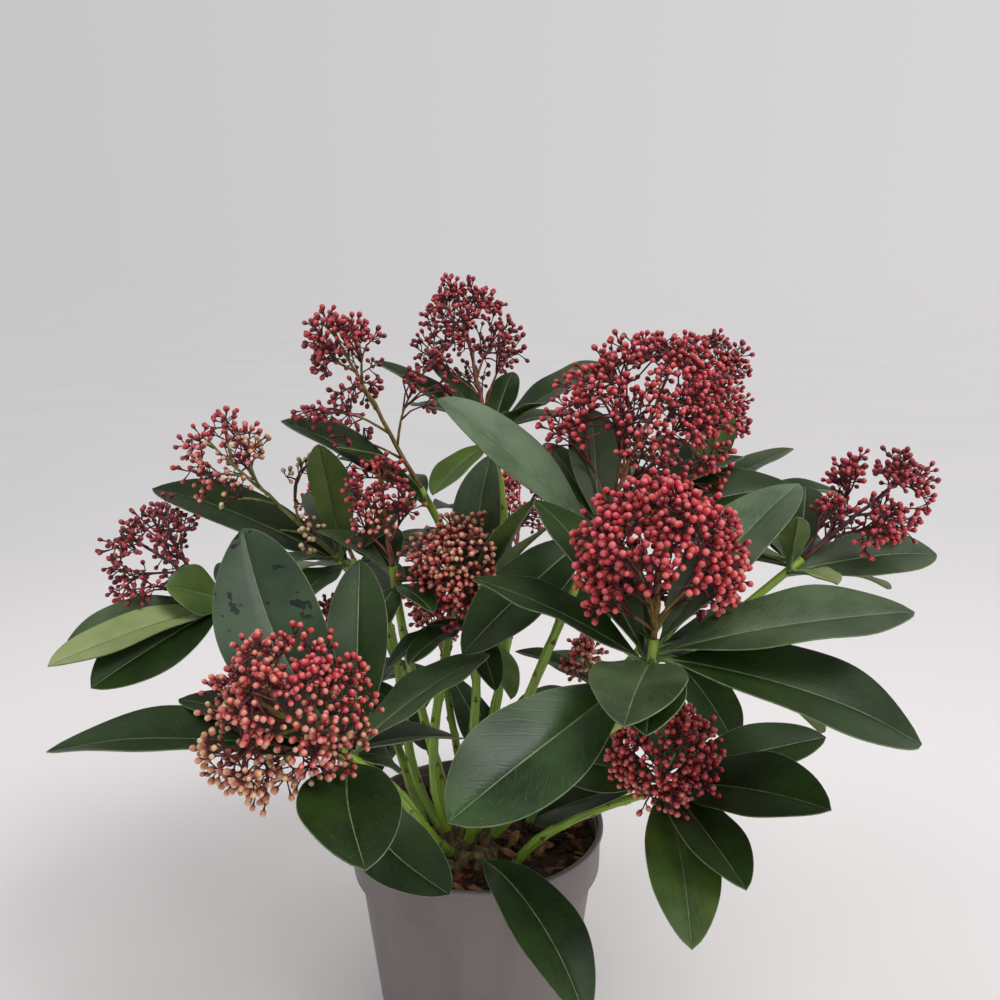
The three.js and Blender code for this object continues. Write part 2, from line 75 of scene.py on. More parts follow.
# How far a solid whorl's hub reaches up and down from its middle, and the gap between hub and stem.
WHORL_HALF = 8.0
NODE_GAP = 0.3


# ---------------------------------------------------------------- small tools


def tone(code: str) -> Colour:
    """Turns a screen colour into the renderer's linear colour.

    Args:
        code: Six hexadecimal digits, red, green and blue.

    Returns:
        The colour with full opacity.
    """
    values = [int(code[i : i + 2], 16) / 255 for i in (0, 2, 4)]
    linear = [v / 12.92 if v <= 0.04045 else ((v + 0.055) / 1.055) ** 2.4 for v in values]
    return (linear[0], linear[1], linear[2], 1.0)


def way(heading: float, pitch: float) -> Vector:
    """The direction at a heading round Z (0 = +X, 90 = away from the front) and a pitch above level."""
    h, p = math.radians(heading), math.radians(pitch)
    return Vector((math.cos(p) * math.cos(h), math.cos(p) * math.sin(h), math.sin(p)))


def lerp(low: float, high: float, share: float) -> float:
    """The value at a share of the way from low to high."""
    return low + (high - low) * share


def clamp(value: float, low: float, high: float) -> float:
    """The value kept between low and high."""
    return max(low, min(high, value))


def smooth(value: float) -> float:
    """A soft step from 0 to 1 as the value goes from 0 to 1."""
    share = clamp(value, 0, 1)
    return share * share * (3 - 2 * share)


class Dice:
    """A repeatable run of numbers, one run for each seed."""

    def __init__(self, seed: int) -> None:
        """Starts the run for a seed."""
        self.state = seed * 7919

    def __call__(self, low: float = 0.0, high: float = 1.0) -> float:
        """The next number between low and high."""
        self.state = (self.state * 1664525 + 1013904223) & 0xFFFFFFFF
        return low + (high - low) * (self.state / 4294967296)

    def pick(self, choices: Sequence[Any]) -> Any:
        """One of the choices."""
        return choices[min(int(self() * len(choices)), len(choices) - 1)]


# ---------------------------------------------------------------- shader building


class Amount:
    """A number in a node tree, so that shader maths is written as plain sums."""

    def __init__(self, nodes: "Nodes", socket: bpy.types.NodeSocket) -> None:
        """Wraps the socket that gives the number."""
        self.nodes = nodes
        self.socket = socket

    def _maths(self, operation: str, first: Any, second: Any = 0.0) -> "Amount":
        """The result of a new Math node, which takes Amounts or plain numbers."""
        return self.nodes.amount("ShaderNodeMath", {"operation": operation}, {0: first, 1: second})

    def __add__(self, other: Any) -> "Amount":
        """self + other."""
        return self._maths("ADD", self, other)

    __radd__ = __add__

    def __sub__(self, other: Any) -> "Amount":
        """self - other."""
        return self._maths("SUBTRACT", self, other)

    def __rsub__(self, other: Any) -> "Amount":
        """other - self."""
        return self._maths("SUBTRACT", other, self)

    def __mul__(self, other: Any) -> "Amount":
        """self * other."""
        return self._maths("MULTIPLY", self, other)

    __rmul__ = __mul__

    def __truediv__(self, other: Any) -> "Amount":
        """self / other."""
        return self._maths("DIVIDE", self, other)

    def __abs__(self) -> "Amount":
        """The size of self without its sign."""
        return self._maths("ABSOLUTE", self)

    def clamped(self) -> "Amount":
        """self, or 0 if it is below 0."""
        return self._maths("MAXIMUM", self, 0.0)

    def ridged(self) -> "Amount":
        """A triangle wave of self: 0 at each whole number, 1 half way between two."""
        return self._maths("PINGPONG", self, 0.5) * 2

    def step(self, low: float, high: float) -> "Amount":
        """A soft step from 0 at low to 1 at high, and a falling one if low is above high."""
        values = {0: self, 1: low, 2: high}
        return self.nodes.amount("ShaderNodeMapRange", {"interpolation_type": "SMOOTHSTEP"}, values)


class Nodes:
    """A node tree under way, of a material or of the world."""

    def __init__(self, owner: bpy.types.Material | bpy.types.World) -> None:
        """Empties the owner's nodes.

        Args:
            owner: The material or the world whose tree it is.
        """
        owner.use_nodes = True
        self.tree = owner.node_tree
        self.tree.nodes.clear()

    def node(
        self,
        kind: str,
        settings: dict[str, Any] | None = None,
        sockets: dict[str | int, Any] | None = None,
    ) -> bpy.types.Node:
        """Adds any node.

        Args:
            kind: The node's type.
            settings: What is set on the node itself, before its sockets.
            sockets: A value, a socket or an Amount for each input, by name or number.

        Returns:
            The new node.
        """
        node = self.tree.nodes.new(kind)
        for key, value in (settings or {}).items():
            setattr(node, key, value)
        for key, value in (sockets or {}).items():
            self.feed(node.inputs[key], value)
        return node

    def feed(self, socket: bpy.types.NodeSocket, value: Any) -> None:
        """Gives an input its value, or links it.

        Args:
            socket: The input.
            value: A plain value, a socket or an Amount.
        """
        if isinstance(value, Amount):
            value = value.socket
        if isinstance(value, bpy.types.NodeSocket):
            self.tree.links.new(value, socket)
        else:
            socket.default_value = value

    def amount(
        self,
        kind: str,
        settings: dict[str, Any] | None,
        sockets: dict[str | int, Any],
        out: str | int = 0,
    ) -> Amount:
        """Adds any node, and gives its output of that name or number as an Amount."""
        return Amount(self, self.node(kind, settings, sockets).outputs[out])


class Paint(Nodes):
    """One material under way: a Principled shader and the nodes that feed it."""

    def __init__(self, name: str) -> None:
        """Starts an empty material.

        Args:
            name: The material's name.
        """
        self.material = bpy.data.materials.new(name)
        super().__init__(self.material)
        self.shader = self.node("ShaderNodeBsdfPrincipled")
        self.node("ShaderNodeOutputMaterial", sockets={"Surface": self.shader.outputs[0]})
        self.place = self.node("ShaderNodeTexCoord").outputs["Object"]

    def set(self, **values: Any) -> None:
        """Feeds the shader's inputs, whose names are given with underscores for spaces."""
        for key, value in values.items():
            self.feed(self.shader.inputs[key.replace("_", " ")], value)

    def noise(
        self, scale: float, detail: float = 2.0, stretch: Sequence[float] = (1, 1, 1), where: Any = None,
    ) -> Amount:
        """Cloudy noise over the piece.

        Args:
            scale: Repeats in each metre.
            detail: How many finer layers lie on it.
            stretch: How much quicker it changes along each axis.
            where: The coordinates, or None for the piece's own place.

        Returns:
            The noise, mostly between 0.3 and 0.7.
        """
        spot = self.place if where is None else where
        if tuple(stretch) != (1, 1, 1):
            spot = self.node("ShaderNodeMapping", sockets={"Vector": spot, "Scale": stretch}).outputs[0]
        return self.amount("ShaderNodeTexNoise", None, {"Vector": spot, "Scale": scale, "Detail": detail})

    def cells(self, scale: float) -> Amount:
        """The distance to the nearest of many scattered points, in their own spacing."""
        return self.amount("ShaderNodeTexVoronoi", None, {"Vector": self.place, "Scale": scale}, "Distance")

    def own_map(self, name: str) -> tuple[Amount, Amount]:
        """Reads a piece's own map.

        Args:
            name: The map's name.

        Returns:
            How far across the map a place is, and how far along.
        """
        spot = self.node("ShaderNodeUVMap", {"uv_map": name}).outputs[0]
        parts = self.node("ShaderNodeSeparateXYZ", sockets={0: spot})
        return Amount(self, parts.outputs[0]), Amount(self, parts.outputs[1])

    def blend(self, factor: Amount | float, first: Any, second: Any) -> bpy.types.NodeSocket:
        """Mixes two colours, the first where the factor is 0."""
        return self.node("ShaderNodeMix", {"data_type": "RGBA"}, {0: factor, 6: first, 7: second}).outputs[2]

    def relief(self, height: Amount, depth: float) -> None:
        """Raises the surface by the height, which is worth depth millimetres at 1."""
        sockets = {"Height": height, "Distance": depth * MM, "Strength": 1.0}
        self.set(Normal=self.node("ShaderNodeBump", sockets=sockets).outputs[0])


class Finish:
    """What every finish shares: it is made once, and then handed out."""

    name: str

    def dress(self, paint: Paint) -> None:
        """Fills in the material's nodes."""
        raise NotImplementedError

    @cache
    def material(self) -> bpy.types.Material:
        """The finish as a material, which is made on first use.

        Returns:
            The material.
        """
        paint = Paint(self.name)
        self.dress(paint)
        return paint.material


def side_veins(paint: Paint, width: float) -> tuple[Amount, Amount, Amount]:
    """The side veins of a leaf, which slant out and up from its midrib.

    Args:
        paint: The leaf's material.
        width: How wide a vein is, as a share of half the space between two.

    Returns:
        How far off the midrib a place is, how far up the leaf, and 1 on a vein and 0 off it.
    """
    across, along = paint.own_map("blade")
    off = abs(across - 0.5) * 2
    wander = paint.noise(90, 2)
    return off, along, (along * VEINS - off * VEIN_SLANT + wander * 0.9).ridged().step(width, 0.0)


@dataclass(frozen=True)
class LeafTop(Finish):
    """The waxy upper face of a leaf, with faint slanting side veins, pale streaks along them that are painted
    sheen, pale specks and, on some, wet spots.

    Shine is how much smoother than usual the face is, and sheen how strongly it mirrors.
    """

    name: str
    deep: Colour
    light: Colour
    wet: bool = False
    shine: float = 0.0
    sheen: float = 0.42
    speck: Colour = tone("7c8f74")
    drop: Colour = tone("0a1710")

    def dress(self, paint: Paint) -> None:
        """Patches of two greens, then veins, pale streaks of painted sheen, specks and a fine relief.

        Args:
            paint: The material to fill in.
        """
        off, along, vein = side_veins(paint, 0.22)
        up = along - off * (VEIN_SLANT / VEINS)
        slanted = paint.node("ShaderNodeCombineXYZ", sockets={0: off, 1: up}).outputs[0]
        streaks = paint.noise(1, 3, (6, 95, 1), slanted)
        patches = paint.noise(38, 3).step(0.3, 0.72)
        colour = paint.blend(patches, self.deep, self.light)
        pale = tuple(v * 1.5 + 0.006 for v in self.light[:3]) + (1.0,)
        colour = paint.blend(vein * (0.0 if self.wet else 0.08), colour, pale)
        # Pale streaks along the side veins, fainter on wet leaves: painted sheen.
        colour = paint.blend(streaks.step(0.4, 0.75) * (0.1 if self.wet else 0.25), colour, pale)
        specks = paint.cells(420).step(0.16, 0.06) * paint.noise(60).step(0.5, 0.6)
        colour = paint.blend(specks * 0.22, colour, self.speck)
        gloss = 0.3 - self.shine + streaks * 0.18 + paint.noise(150, 3) * 0.12
        if self.wet:
            drops = paint.noise(150, 2).step(0.585, 0.6) * paint.noise(36, 1).step(0.53, 0.56)
            colour = paint.blend(drops * 0.9, colour, self.drop)
            gloss = gloss - drops * 0.25
        paint.set(Base_Color=colour, Roughness=gloss, Specular_IOR_Level=self.sheen)
        ridges = streaks * 0.1 if self.wet else streaks * 0.3 + vein * -0.12
        paint.relief(ridges + paint.noise(900, 2) * 0.18, 0.22)


@dataclass(frozen=True)
class LeafUnder(Finish):
    """The matt yellow-green lower face of a leaf."""

    name: str
    colour: Colour
    shade: Colour

    def dress(self, paint: Paint) -> None:
        """Two greens in soft patches, dotted with oil glands.

        Args:
            paint: The material to fill in.
        """
        vein = side_veins(paint, 0.2)[2]
        colour = paint.blend(paint.noise(60, 3).step(0.3, 0.7), self.shade, self.colour)
        colour = paint.blend(vein * 0.3, colour, self.shade)
        dots = paint.cells(900).step(0.2, 0.05)
        colour = paint.blend(dots * 0.3, colour, self.shade)
        paint.set(Base_Color=colour, Roughness=0.52 + paint.noise(200) * 0.12)
        paint.relief(vein * 0.5 + dots * -0.3, 0.15)


@dataclass(frozen=True)
class Tissue(Finish):
    """Smooth living tissue in two colours: ribs, stalks, scales and bud skins."""

    name: str
    colour: Colour
    shade: Colour
    grain: float = 300.0
    rough: float = 0.45
    depth: float = 0.08

    def dress(self, paint: Paint) -> None:
        """Soft patches of the shade over the colour, and a fine relief.

        Args:
            paint: The material to fill in.
        """
        patches = paint.noise(self.grain, 3)
        paint.set(
            Base_Color=paint.blend(patches.step(0.36, 0.66), self.shade, self.colour),
            Roughness=self.rough - 0.08 + patches * 0.16,
        )
        paint.relief(paint.noise(self.grain * 4, 2), self.depth)


@dataclass(frozen=True)
class BudSkin(Finish):
    """A closed bud: darker round its foot, its own colour on the cheeks, and a paler tip that is partly its
    own colour and partly a painted highlight.
    """

    name: str
    cheek: Colour
    foot: Colour
    tip: Colour

    def dress(self, paint: Paint) -> None:
        """Three tones from foot to tip by the bud's own map, which also makes each bud a little different.

        Args:
            paint: The material to fill in.
        """
        chance, along = paint.own_map("bud")
        cloud = paint.noise(500, 2)
        mixed = paint.blend((chance * 0.8 + cloud * 0.4 - 0.1).step(0.1, 0.9) * 0.55, self.cheek, self.foot)
        height = along + (cloud - 0.5) * 0.3 + (chance - 0.5) * 0.3
        colour = paint.blend(height.step(0.42, 0.12), mixed, self.foot)
        # The paler tip: partly the bud's own colour, partly a painted highlight.
        colour = paint.blend(height.step(0.66, 1.05) * 0.85, colour, self.tip)
        paint.set(Base_Color=colour, Roughness=0.3 + cloud * 0.16)
        paint.set(Subsurface_Weight=0.12, Subsurface_Scale=0.0012)
        paint.relief(paint.noise(2600, 1), 0.05)


@dataclass(frozen=True)
class GreenBark(Finish):
    """Young bark: bright green, streaked lengthways, browner in patches, with small corky specks."""

    name: str
    colour: Colour
    shade: Colour
    cork: Colour

    def dress(self, paint: Paint) -> None:
        """Streaks along the stem from its own map, then brown patches and specks.

        Args:
            paint: The material to fill in.
        """
        around, along = paint.own_map("bark")
        spot = paint.node("ShaderNodeCombineXYZ", sockets={0: around, 1: along}).outputs[0]
        streaks = paint.noise(1, 4, (16, 5, 1), spot)
        colour = paint.blend(streaks.step(0.34, 0.66), self.shade, self.colour)
        brown = paint.noise(55, 4).step(0.56, 0.72)
        colour = paint.blend(brown * 0.4, colour, self.cork)
        specks = paint.cells(520).step(0.2, 0.1) * paint.noise(140).step(0.45, 0.55)
        colour = paint.blend(specks * 0.7, colour, self.cork)
        paint.set(Base_Color=colour, Roughness=0.34 + streaks * 0.12 + brown * 0.2)
        paint.relief(streaks * 0.5 + specks * 0.6 + paint.noise(1200, 2) * 0.2, 0.22)


@dataclass(frozen=True)
class Rough(Finish):
    """Rough dry stuff, such as wood, potting mix and bark chips: light ridges over dark hollows."""

    name: str
    light: Colour
    dark: Colour
    grain: float
    depth: float
    stretch: tuple[float, float, float] = (1, 1, 1)

    def dress(self, paint: Paint) -> None:
        """A coarse and a fine noise set the colour, and both raise the surface.

        Args:
            paint: The material to fill in.
        """
        coarse = paint.noise(self.grain, 5, self.stretch)
        fine = paint.noise(self.grain * 5, 4)
        colour = paint.blend((coarse * 0.7 + fine * 0.3).step(0.36, 0.66), self.dark, self.light)
        paint.set(Base_Color=colour, Roughness=0.78 + fine * 0.2)
        paint.relief(coarse + fine * 0.5, self.depth)


@dataclass(frozen=True)
class PotPlastic(Finish):
    """Taupe grey moulded plastic: satin, faintly flowed, with dust specks and paler scuffs."""

    name: str
    colour: Colour
    shade: Colour
    rubbed: Colour

    def dress(self, paint: Paint) -> None:
        """Cloudy tone, upright flow marks, dust specks, and scuffs.

        Args:
            paint: The material to fill in.
        """
        cloud = paint.noise(14, 4, (1, 1, 0.5))
        flow = paint.noise(60, 3, (1, 1, 0.06))
        colour = paint.blend((cloud * 0.6 + flow * 0.4).step(0.36, 0.64), self.shade, self.colour)
        dust = paint.cells(260).step(0.13, 0.05) * paint.noise(45).step(0.52, 0.6)
        scuffs = paint.noise(110, 5, (0.35, 0.35, 2.5)).step(0.63, 0.72) * paint.noise(20).step(0.5, 0.6)
        colour = paint.blend(dust * 0.6, colour, self.rubbed)
        colour = paint.blend(scuffs * 0.35, colour, self.rubbed)
        paint.set(Base_Color=colour, Roughness=0.42 + cloud * 0.14 + scuffs * 0.15)
        paint.relief(flow * 0.6 + paint.noise(1500, 2) * 0.25 + scuffs * -0.3, 0.12)


@dataclass(frozen=True)
class Backdrop(Finish):
    """The pale studio floor, with painted light and shade: lighter towards the right, as its surround is, and
    round the plant, and darker towards the left.
    """

    name: str
    colour: Colour
    shade: Colour
    right: Colour
    left: Colour
    close: Colour
    near: float = 1.6

    def dress(self, paint: Paint) -> None:
        """Barely seen clouds in a matt pale tone, which changes with the way from the plant: painted light to
        the right and close round it, painted shade to the left.

        Args:
            paint: The material to fill in.
        """
        colour = paint.blend(paint.noise(3, 3).step(0.3, 0.7), self.shade, self.colour)
        x = paint.amount("ShaderNodeSeparateXYZ", None, {0: paint.place})
        far = paint.amount("ShaderNodeVectorMath", {"operation": "LENGTH"}, {0: paint.place}, 1)
        way_right = x / (far + self.near)
        # Painted light towards the right.
        colour = paint.blend(way_right.clamped(), colour, self.right)
        # Painted shade towards the left.
        colour = paint.blend((way_right * -1).clamped(), colour, self.left)
        # A painted pool of light round the plant.
        colour = paint.blend(far.step(1.3, 0.3), colour, self.close)
        paint.set(Base_Color=colour, Roughness=0.85)


class Tint(Enum):
    """The greens that a leaf's upper face comes in, one of them a green painted lighter as a reflection."""

    DEEP = "deep"
    WAXY = "waxy"
    FRESH = "fresh"
    WET = "wet"
    GLOSSY = "glossy"
    # A leaf green painted lighter: a painted reflection of the bright surround.
    PAINTED_SHEEN = "milky"
    PALE = "pale"
    LIME = "lime"


LEAF_TOPS = {
    Tint.DEEP: LeafTop("leaf_deep", tone("16260c"), tone("293f16"), sheen=0.24),
    Tint.WAXY: LeafTop("leaf_waxy", tone("27391e"), tone("485b38")),
    Tint.FRESH: LeafTop("leaf_fresh", tone("33481a"), tone("4f6626")),
    Tint.WET: LeafTop("leaf_wet", tone("263a24"), tone("3f543a"), wet=True),
    Tint.GLOSSY: LeafTop("leaf_glossy", tone("1a2e12"), tone("355024"), shine=0.1, sheen=0.36),
    # Painted reflection: a leaf green made lighter to stand for the bright surround mirrored in the leaf.
    Tint.PAINTED_SHEEN: LeafTop("leaf_milky", tone("3a4f34"), tone("63775a")),
    Tint.PALE: LeafTop("leaf_pale", tone("76854f"), tone("8f9c64")),
    Tint.LIME: LeafTop("leaf_lime", tone("7a8f36"), tone("97a84a")),
}
LEAF_UNDER = LeafUnder("leaf_under", tone("6a7f3e"), tone("50682f"))
LEAF_RIB = Tissue("leaf_rib", tone("74845a"), tone("596c42"), rough=0.42)
LEAF_EDGE = Tissue("leaf_edge", tone("6f7f56"), tone("55663f"), rough=0.4)
LEAF_STALK = Tissue("leaf_stalk", tone("566b2f"), tone("3d5020"), rough=0.42)
STEM_BARK = GreenBark("green_bark", tone("93b038"), tone("618428"), tone("755c34"))
SCAR_CORK = Tissue("leaf_scar", tone("8d5b3a"), tone("5b3420"), rough=0.7, depth=0.15)
CROWN_WOOD = Rough("crown_wood", tone("8b7650"), tone("3c2f20"), 320, 0.9, (1, 1, 0.35))
POTTING_MIX = Rough("potting_mix", tone("5c3b2b"), tone("170d09"), 420, 1.2)
CHIPS = (
    Rough("chip_red", tone("8a5238"), tone("4a2719"), 500, 0.4, (1, 0.3, 1)),
    Rough("chip_tan", tone("b58a63"), tone("6f4a30"), 500, 0.4, (0.3, 1, 1)),
    Rough("chip_dark", tone("4e3022"), tone("20130d"), 500, 0.4, (1, 0.3, 1)),
)
POT_PLASTIC = PotPlastic("pot_plastic", tone("7a6f6f"), tone("6c6263"), tone("a0979a"))
# Floor tones: colour, shade, painted light to the right, painted shade to the left, painted light round the
# plant.
FLOOR_TONE = Backdrop(
    "studio_floor", tone("eae7e7"), tone("e6e4e4"), tone("fdfafa"), tone("d2d0d3"), tone("f7f2f2"),
)


class Bud(Enum):
    """The colours of the closed buds, from the sunny side to the shaded one."""

    WINE = "wine"
    RED = "red"
    BRIGHT = "bright"
    ROSE = "rose"
    SALMON = "salmon"
    PEACH = "peach"
    CREAM = "cream"


# Each bud colour: cheek, foot, and tip, whose paler tone is partly a painted highlight.
BUD_SKINS = {
    Bud.WINE: BudSkin("bud_wine", tone("8a2029"), tone("571019"), tone("b0444a")),
    Bud.RED: BudSkin("bud_red", tone("b32a33"), tone("801c24"), tone("cf5d62")),
    Bud.BRIGHT: BudSkin("bud_bright", tone("ce3a40"), tone("9e2229"), tone("e4777a")),
    Bud.ROSE: BudSkin("bud_rose", tone("cc4c4c"), tone("a03234"), tone("e6a08a")),
    Bud.SALMON: BudSkin("bud_salmon", tone("c8635a"), tone("a04440"), tone("e2b594")),
    Bud.PEACH: BudSkin("bud_peach", tone("c98a68"), tone("a8594a"), tone("e0c79c")),
    Bud.CREAM: BudSkin("bud_cream", tone("c9b184"), tone("96704c"), tone("ddd3a6")),
}
BUD_CUPS = {
    "red": Tissue("bud_cup_red", tone("6a1c24"), tone("451017"), rough=0.5),
    "pale": Tissue("bud_cup_pale", tone("84523a"), tone("5c3226"), rough=0.5),
}
BUD_STALK = Tissue("bud_stalk", tone("5c1f29"), tone("3d1119"), rough=0.5)
HEAD_BRANCH = Tissue("head_branch", tone("6e332d"), tone("4a1c23"), rough=0.5)


class Axis(Enum):
    """The colours of a head's own stalk."""

    RUST = Tissue("axis_rust", tone("8f5a36"), tone("6d3a2a"), rough=0.5)
    OLIVE = Tissue("axis_olive", tone("80702c"), tone("66481f"), rough=0.5)
    MAROON = Tissue("axis_maroon", tone("5f2f2b"), tone("451c20"), rough=0.5)
    GREEN = Tissue("axis_green", tone("8b8c4c"), tone("6d6a36"), rough=0.48)


# ---------------------------------------------------------------- making pieces


def finish_piece(
    name: str,
    mesh: bpy.types.Mesh,
    finishes: Iterable[Finish],
    nodes: Sequence[str],
) -> bpy.types.Object:
    """Makes a mesh a piece of the object.

    Args:
        name: The piece's name.
        mesh: Its mesh, in metres and in place.
        finishes: One finish for each of the mesh's material numbers.
        nodes: The solids that it stands for.

    Returns:
        The piece.
    """
    for finish in finishes:
        mesh.materials.append(finish.material())
    mesh.shade_smooth()
    piece = bpy.data.objects.new(name, mesh)
    bpy.context.scene.collection.objects.link(piece)
    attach(piece, "root")
    if nodes:
        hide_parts(*nodes)
    log.info("%s: %d faces", name, len(mesh.polygons))
    return piece


def mesh_of(name: str, bm: bmesh.types.BMesh) -> bpy.types.Mesh:
    """Turns a bmesh in millimetres into a mesh in metres, and frees it.

    Args:
        name: The mesh's name.
        bm: The bmesh.

    Returns:
        The mesh.
    """
    bmesh.ops.scale(bm, vec=(MM, MM, MM), verts=bm.verts)
    mesh = bpy.data.meshes.new(name)
    bm.to_mesh(mesh)
    bm.free()
    return mesh


@dataclass
class Template:
    """A small shape that is joined many times.

    It has its points, the corners of its faces, where each face starts among them, and the faces' slots.
    """

    points: np.ndarray
    corners: np.ndarray
    starts: np.ndarray
    slots: np.ndarray

    @staticmethod
    def of(bm: bmesh.types.BMesh) -> "Template":
        """Reads a bmesh as a template, and frees it.

        Args:
            bm: The bmesh.

        Returns:
            The template.
        """
        bm.verts.index_update()
        points = np.array([v.co for v in bm.verts])
        faces = [[v.index for v in face.verts] for face in bm.faces]
        sizes = np.array([len(face) for face in faces])
        slots = np.array([face.material_index for face in bm.faces])
        bm.free()
        return Template(points, np.concatenate(faces), np.cumsum(sizes) - sizes, slots)

    @staticmethod
    @cache
    def tube(steps: int, sides: int) -> "Template":
        """The faces of a closed tube, whose points are still to be given.

        Args:
            steps: How many steps it has along its length.
            sides: How many sides it has.

        Returns:
            The template, without points.
        """
        ring = np.arange(sides)
        after = np.roll(ring, -1)
        wall = np.stack([ring, after, after + sides, ring + sides], 1).ravel()
        walls = [wall + k * sides for k in range(steps)]
        corners = np.concatenate([*walls, ring[::-1], ring + steps * sides])
        starts = np.concatenate([np.arange(steps * sides) * 4, steps * sides * 4 + np.array([0, sides])])
        return Template(np.zeros((0, 3)), corners, starts, np.zeros(len(starts), int))


class Joined:
    """Many small shapes joined into one mesh from arrays."""

    def __init__(self) -> None:
        """Starts with nothing."""
        self.points: list[np.ndarray] = []
        self.corners: list[np.ndarray] = []
        self.starts: list[np.ndarray] = []
        self.slots: list[np.ndarray] = []
        self.chances: list[np.ndarray] = []
        self.count = 0
        self.loops = 0

    def add(
        self, template: Template, points: np.ndarray, slots: np.ndarray | int, chance: float = 0.0,
    ) -> None:
        """Adds one copy.

        Args:
            template: The shape whose faces it has.
            points: Its points, in millimetres.
            slots: Its material number, or one for each face.
            chance: A number that its finish may read, with each point's height, from its own map.
        """
        heights = template.corners * 0.0
        if len(template.points):
            heights = template.points[template.corners, 2] * 0.5 + 0.5
        self.chances.append(np.stack([np.full(len(heights), chance), heights], 1))
        self.points.append(points)
        self.corners.append(template.corners + self.count)
        self.starts.append(template.starts + self.loops)
        self.slots.append(np.broadcast_to(slots, template.starts.shape))
        self.count += len(points)
        self.loops += len(template.corners)

    def tube(self, path: Sequence[Vector], girths: Sequence[float], sides: int, slot: int) -> None:
        """Adds a tapering tube with closed ends.

        Args:
            path: The points that it follows.
            girths: Its radius at each point.
            sides: How many sides it has.
            slot: Its material number.
        """
        turns = np.arange(sides) * (2 * math.pi / sides)
        rings = []
        for centre, (side, other), girth in zip(path, frames_along(path), girths):
            spokes = np.outer(np.cos(turns), side) + np.outer(np.sin(turns), other)
            rings.append(np.array(centre) + spokes * girth)
        self.add(Template.tube(len(path) - 1, sides), np.concatenate(rings), slot)

    def mesh(self, name: str, mapped: str = "") -> bpy.types.Mesh:
        """Makes all the shapes one mesh.

        Args:
            name: The mesh's name.
            mapped: The name of the map of each point's chance and height, or nothing for no map.

        Returns:
            The mesh, in metres.
        """
        mesh = bpy.data.meshes.new(name)
        corners, starts = np.concatenate(self.corners), np.concatenate(self.starts)
        mesh.vertices.add(self.count)
        mesh.vertices.foreach_set("co", (np.concatenate(self.points) * MM).ravel())
        mesh.loops.add(len(corners))
        mesh.loops.foreach_set("vertex_index", corners.astype(np.int32))
        mesh.polygons.add(len(starts))
        mesh.polygons.foreach_set("loop_start", starts.astype(np.int32))
        mesh.polygons.foreach_set("material_index", np.concatenate(self.slots).astype(np.int32))
        if mapped:
            mesh.uv_layers.new(name=mapped).data.foreach_set("uv", np.concatenate(self.chances).ravel())
        mesh.update(calc_edges=True)
        mesh.validate()
        return mesh


def frames_along(path: Sequence[Vector]) -> list[tuple[Vector, Vector]]:
    """Two directions square to a path at each of its points, which don't twist from point to point.

    Args:
        path: The path's points.

    Returns:
        Both directions for each point.
    """
    ways = [(b - a).normalized() for a, b in zip(path, path[1:])]
    ways = [ways[0], *[(a + b).normalized() for a, b in zip(ways, ways[1:])], ways[-1]]
    start = Vector((1, 0, 0)) if abs(ways[0].x) < 0.7 else Vector((0, 1, 0))
    side = ways[0].cross(start).normalized()
    found = []
    for along in ways:
        side = (side - along * side.dot(along)).normalized()
        found.append((side, along.cross(side)))
    return found


def curved(points: Sequence[Vector], count: int) -> list[Vector]:
    """Evenly spaced points on the cubic curve that four points steer.

    Args:
        points: Its start, its two handles and its end.
        count: How many steps to divide it into.

    Returns:
        The points, one more than the steps.
    """
    a, b, c, d = points
    fine = []
    for i in range(81):
        t = i / 80
        fine.append(a * (1 - t) ** 3 + b * 3 * t * (1 - t) ** 2 + c * 3 * t * t * (1 - t) + d * t**3)
    lengths = np.concatenate([[0], np.cumsum([(q - p).length for p, q in zip(fine, fine[1:])])])
    places = np.interp(np.linspace(0, lengths[-1], count + 1), lengths, np.arange(81))
    return [fine[int(s)].lerp(fine[min(int(s) + 1, 80)], s - int(s)) for s in places]


# ---------------------------------------------------------------- sizes of the plant


@dataclass(frozen=True)
class Leaf:
    """A leaf: heading and pitch of its chord, its length, and its form. A spare one may be left out.

    Shoulder is how far towards the tip it is broadest, and bow how far its middle stands off sideways, as a
    share of its length.
    """

    heading: float
    pitch: float
    length: float
    width: float = 0.34
    shoulder: float = 1.0
    arch: float = 22.0
    roll: float = 0.0
    bow: float = 0.0
    fold: float = 14.0
    tint: Tint = Tint.DEEP
    spare: bool = False


@dataclass(frozen=True)
class Head:
    """A panicle: how far out its middle is, its half-width and half-length, and what it is made of.

    Skirt branches hang below it and stand flare times as far out. Low is how far down its egg the buds
    reach, from 1 at its top to -1 at its foot. Sprays are its finest branchlets, each with umbel buds or a
    few more. Loose is how far they crowd together round the ends of the main branches, from 0 for not at
    all. Fat is the buds' own size, and cone narrows the head towards its top. None grow on the side that
    bare names. The buds run through the colours in buds towards the way that pale names.
    """

    reach: float
    wide: float
    tall: float
    branches: int
    skirt: int = 0
    flare: float = 1.0
    low: float = -0.6
    sprays: int = 26
    umbel: int = 5
    loose: float = 0.5
    fat: float = 1.0
    cone: float = 0.0
    bare: tuple[float, float, float] | None = None
    buds: tuple[Bud, ...] = (Bud.RED, Bud.RED, Bud.BRIGHT)
    pale: tuple[float, float, float] = (0, 0, -1)
    axis: Axis = Axis.RUST


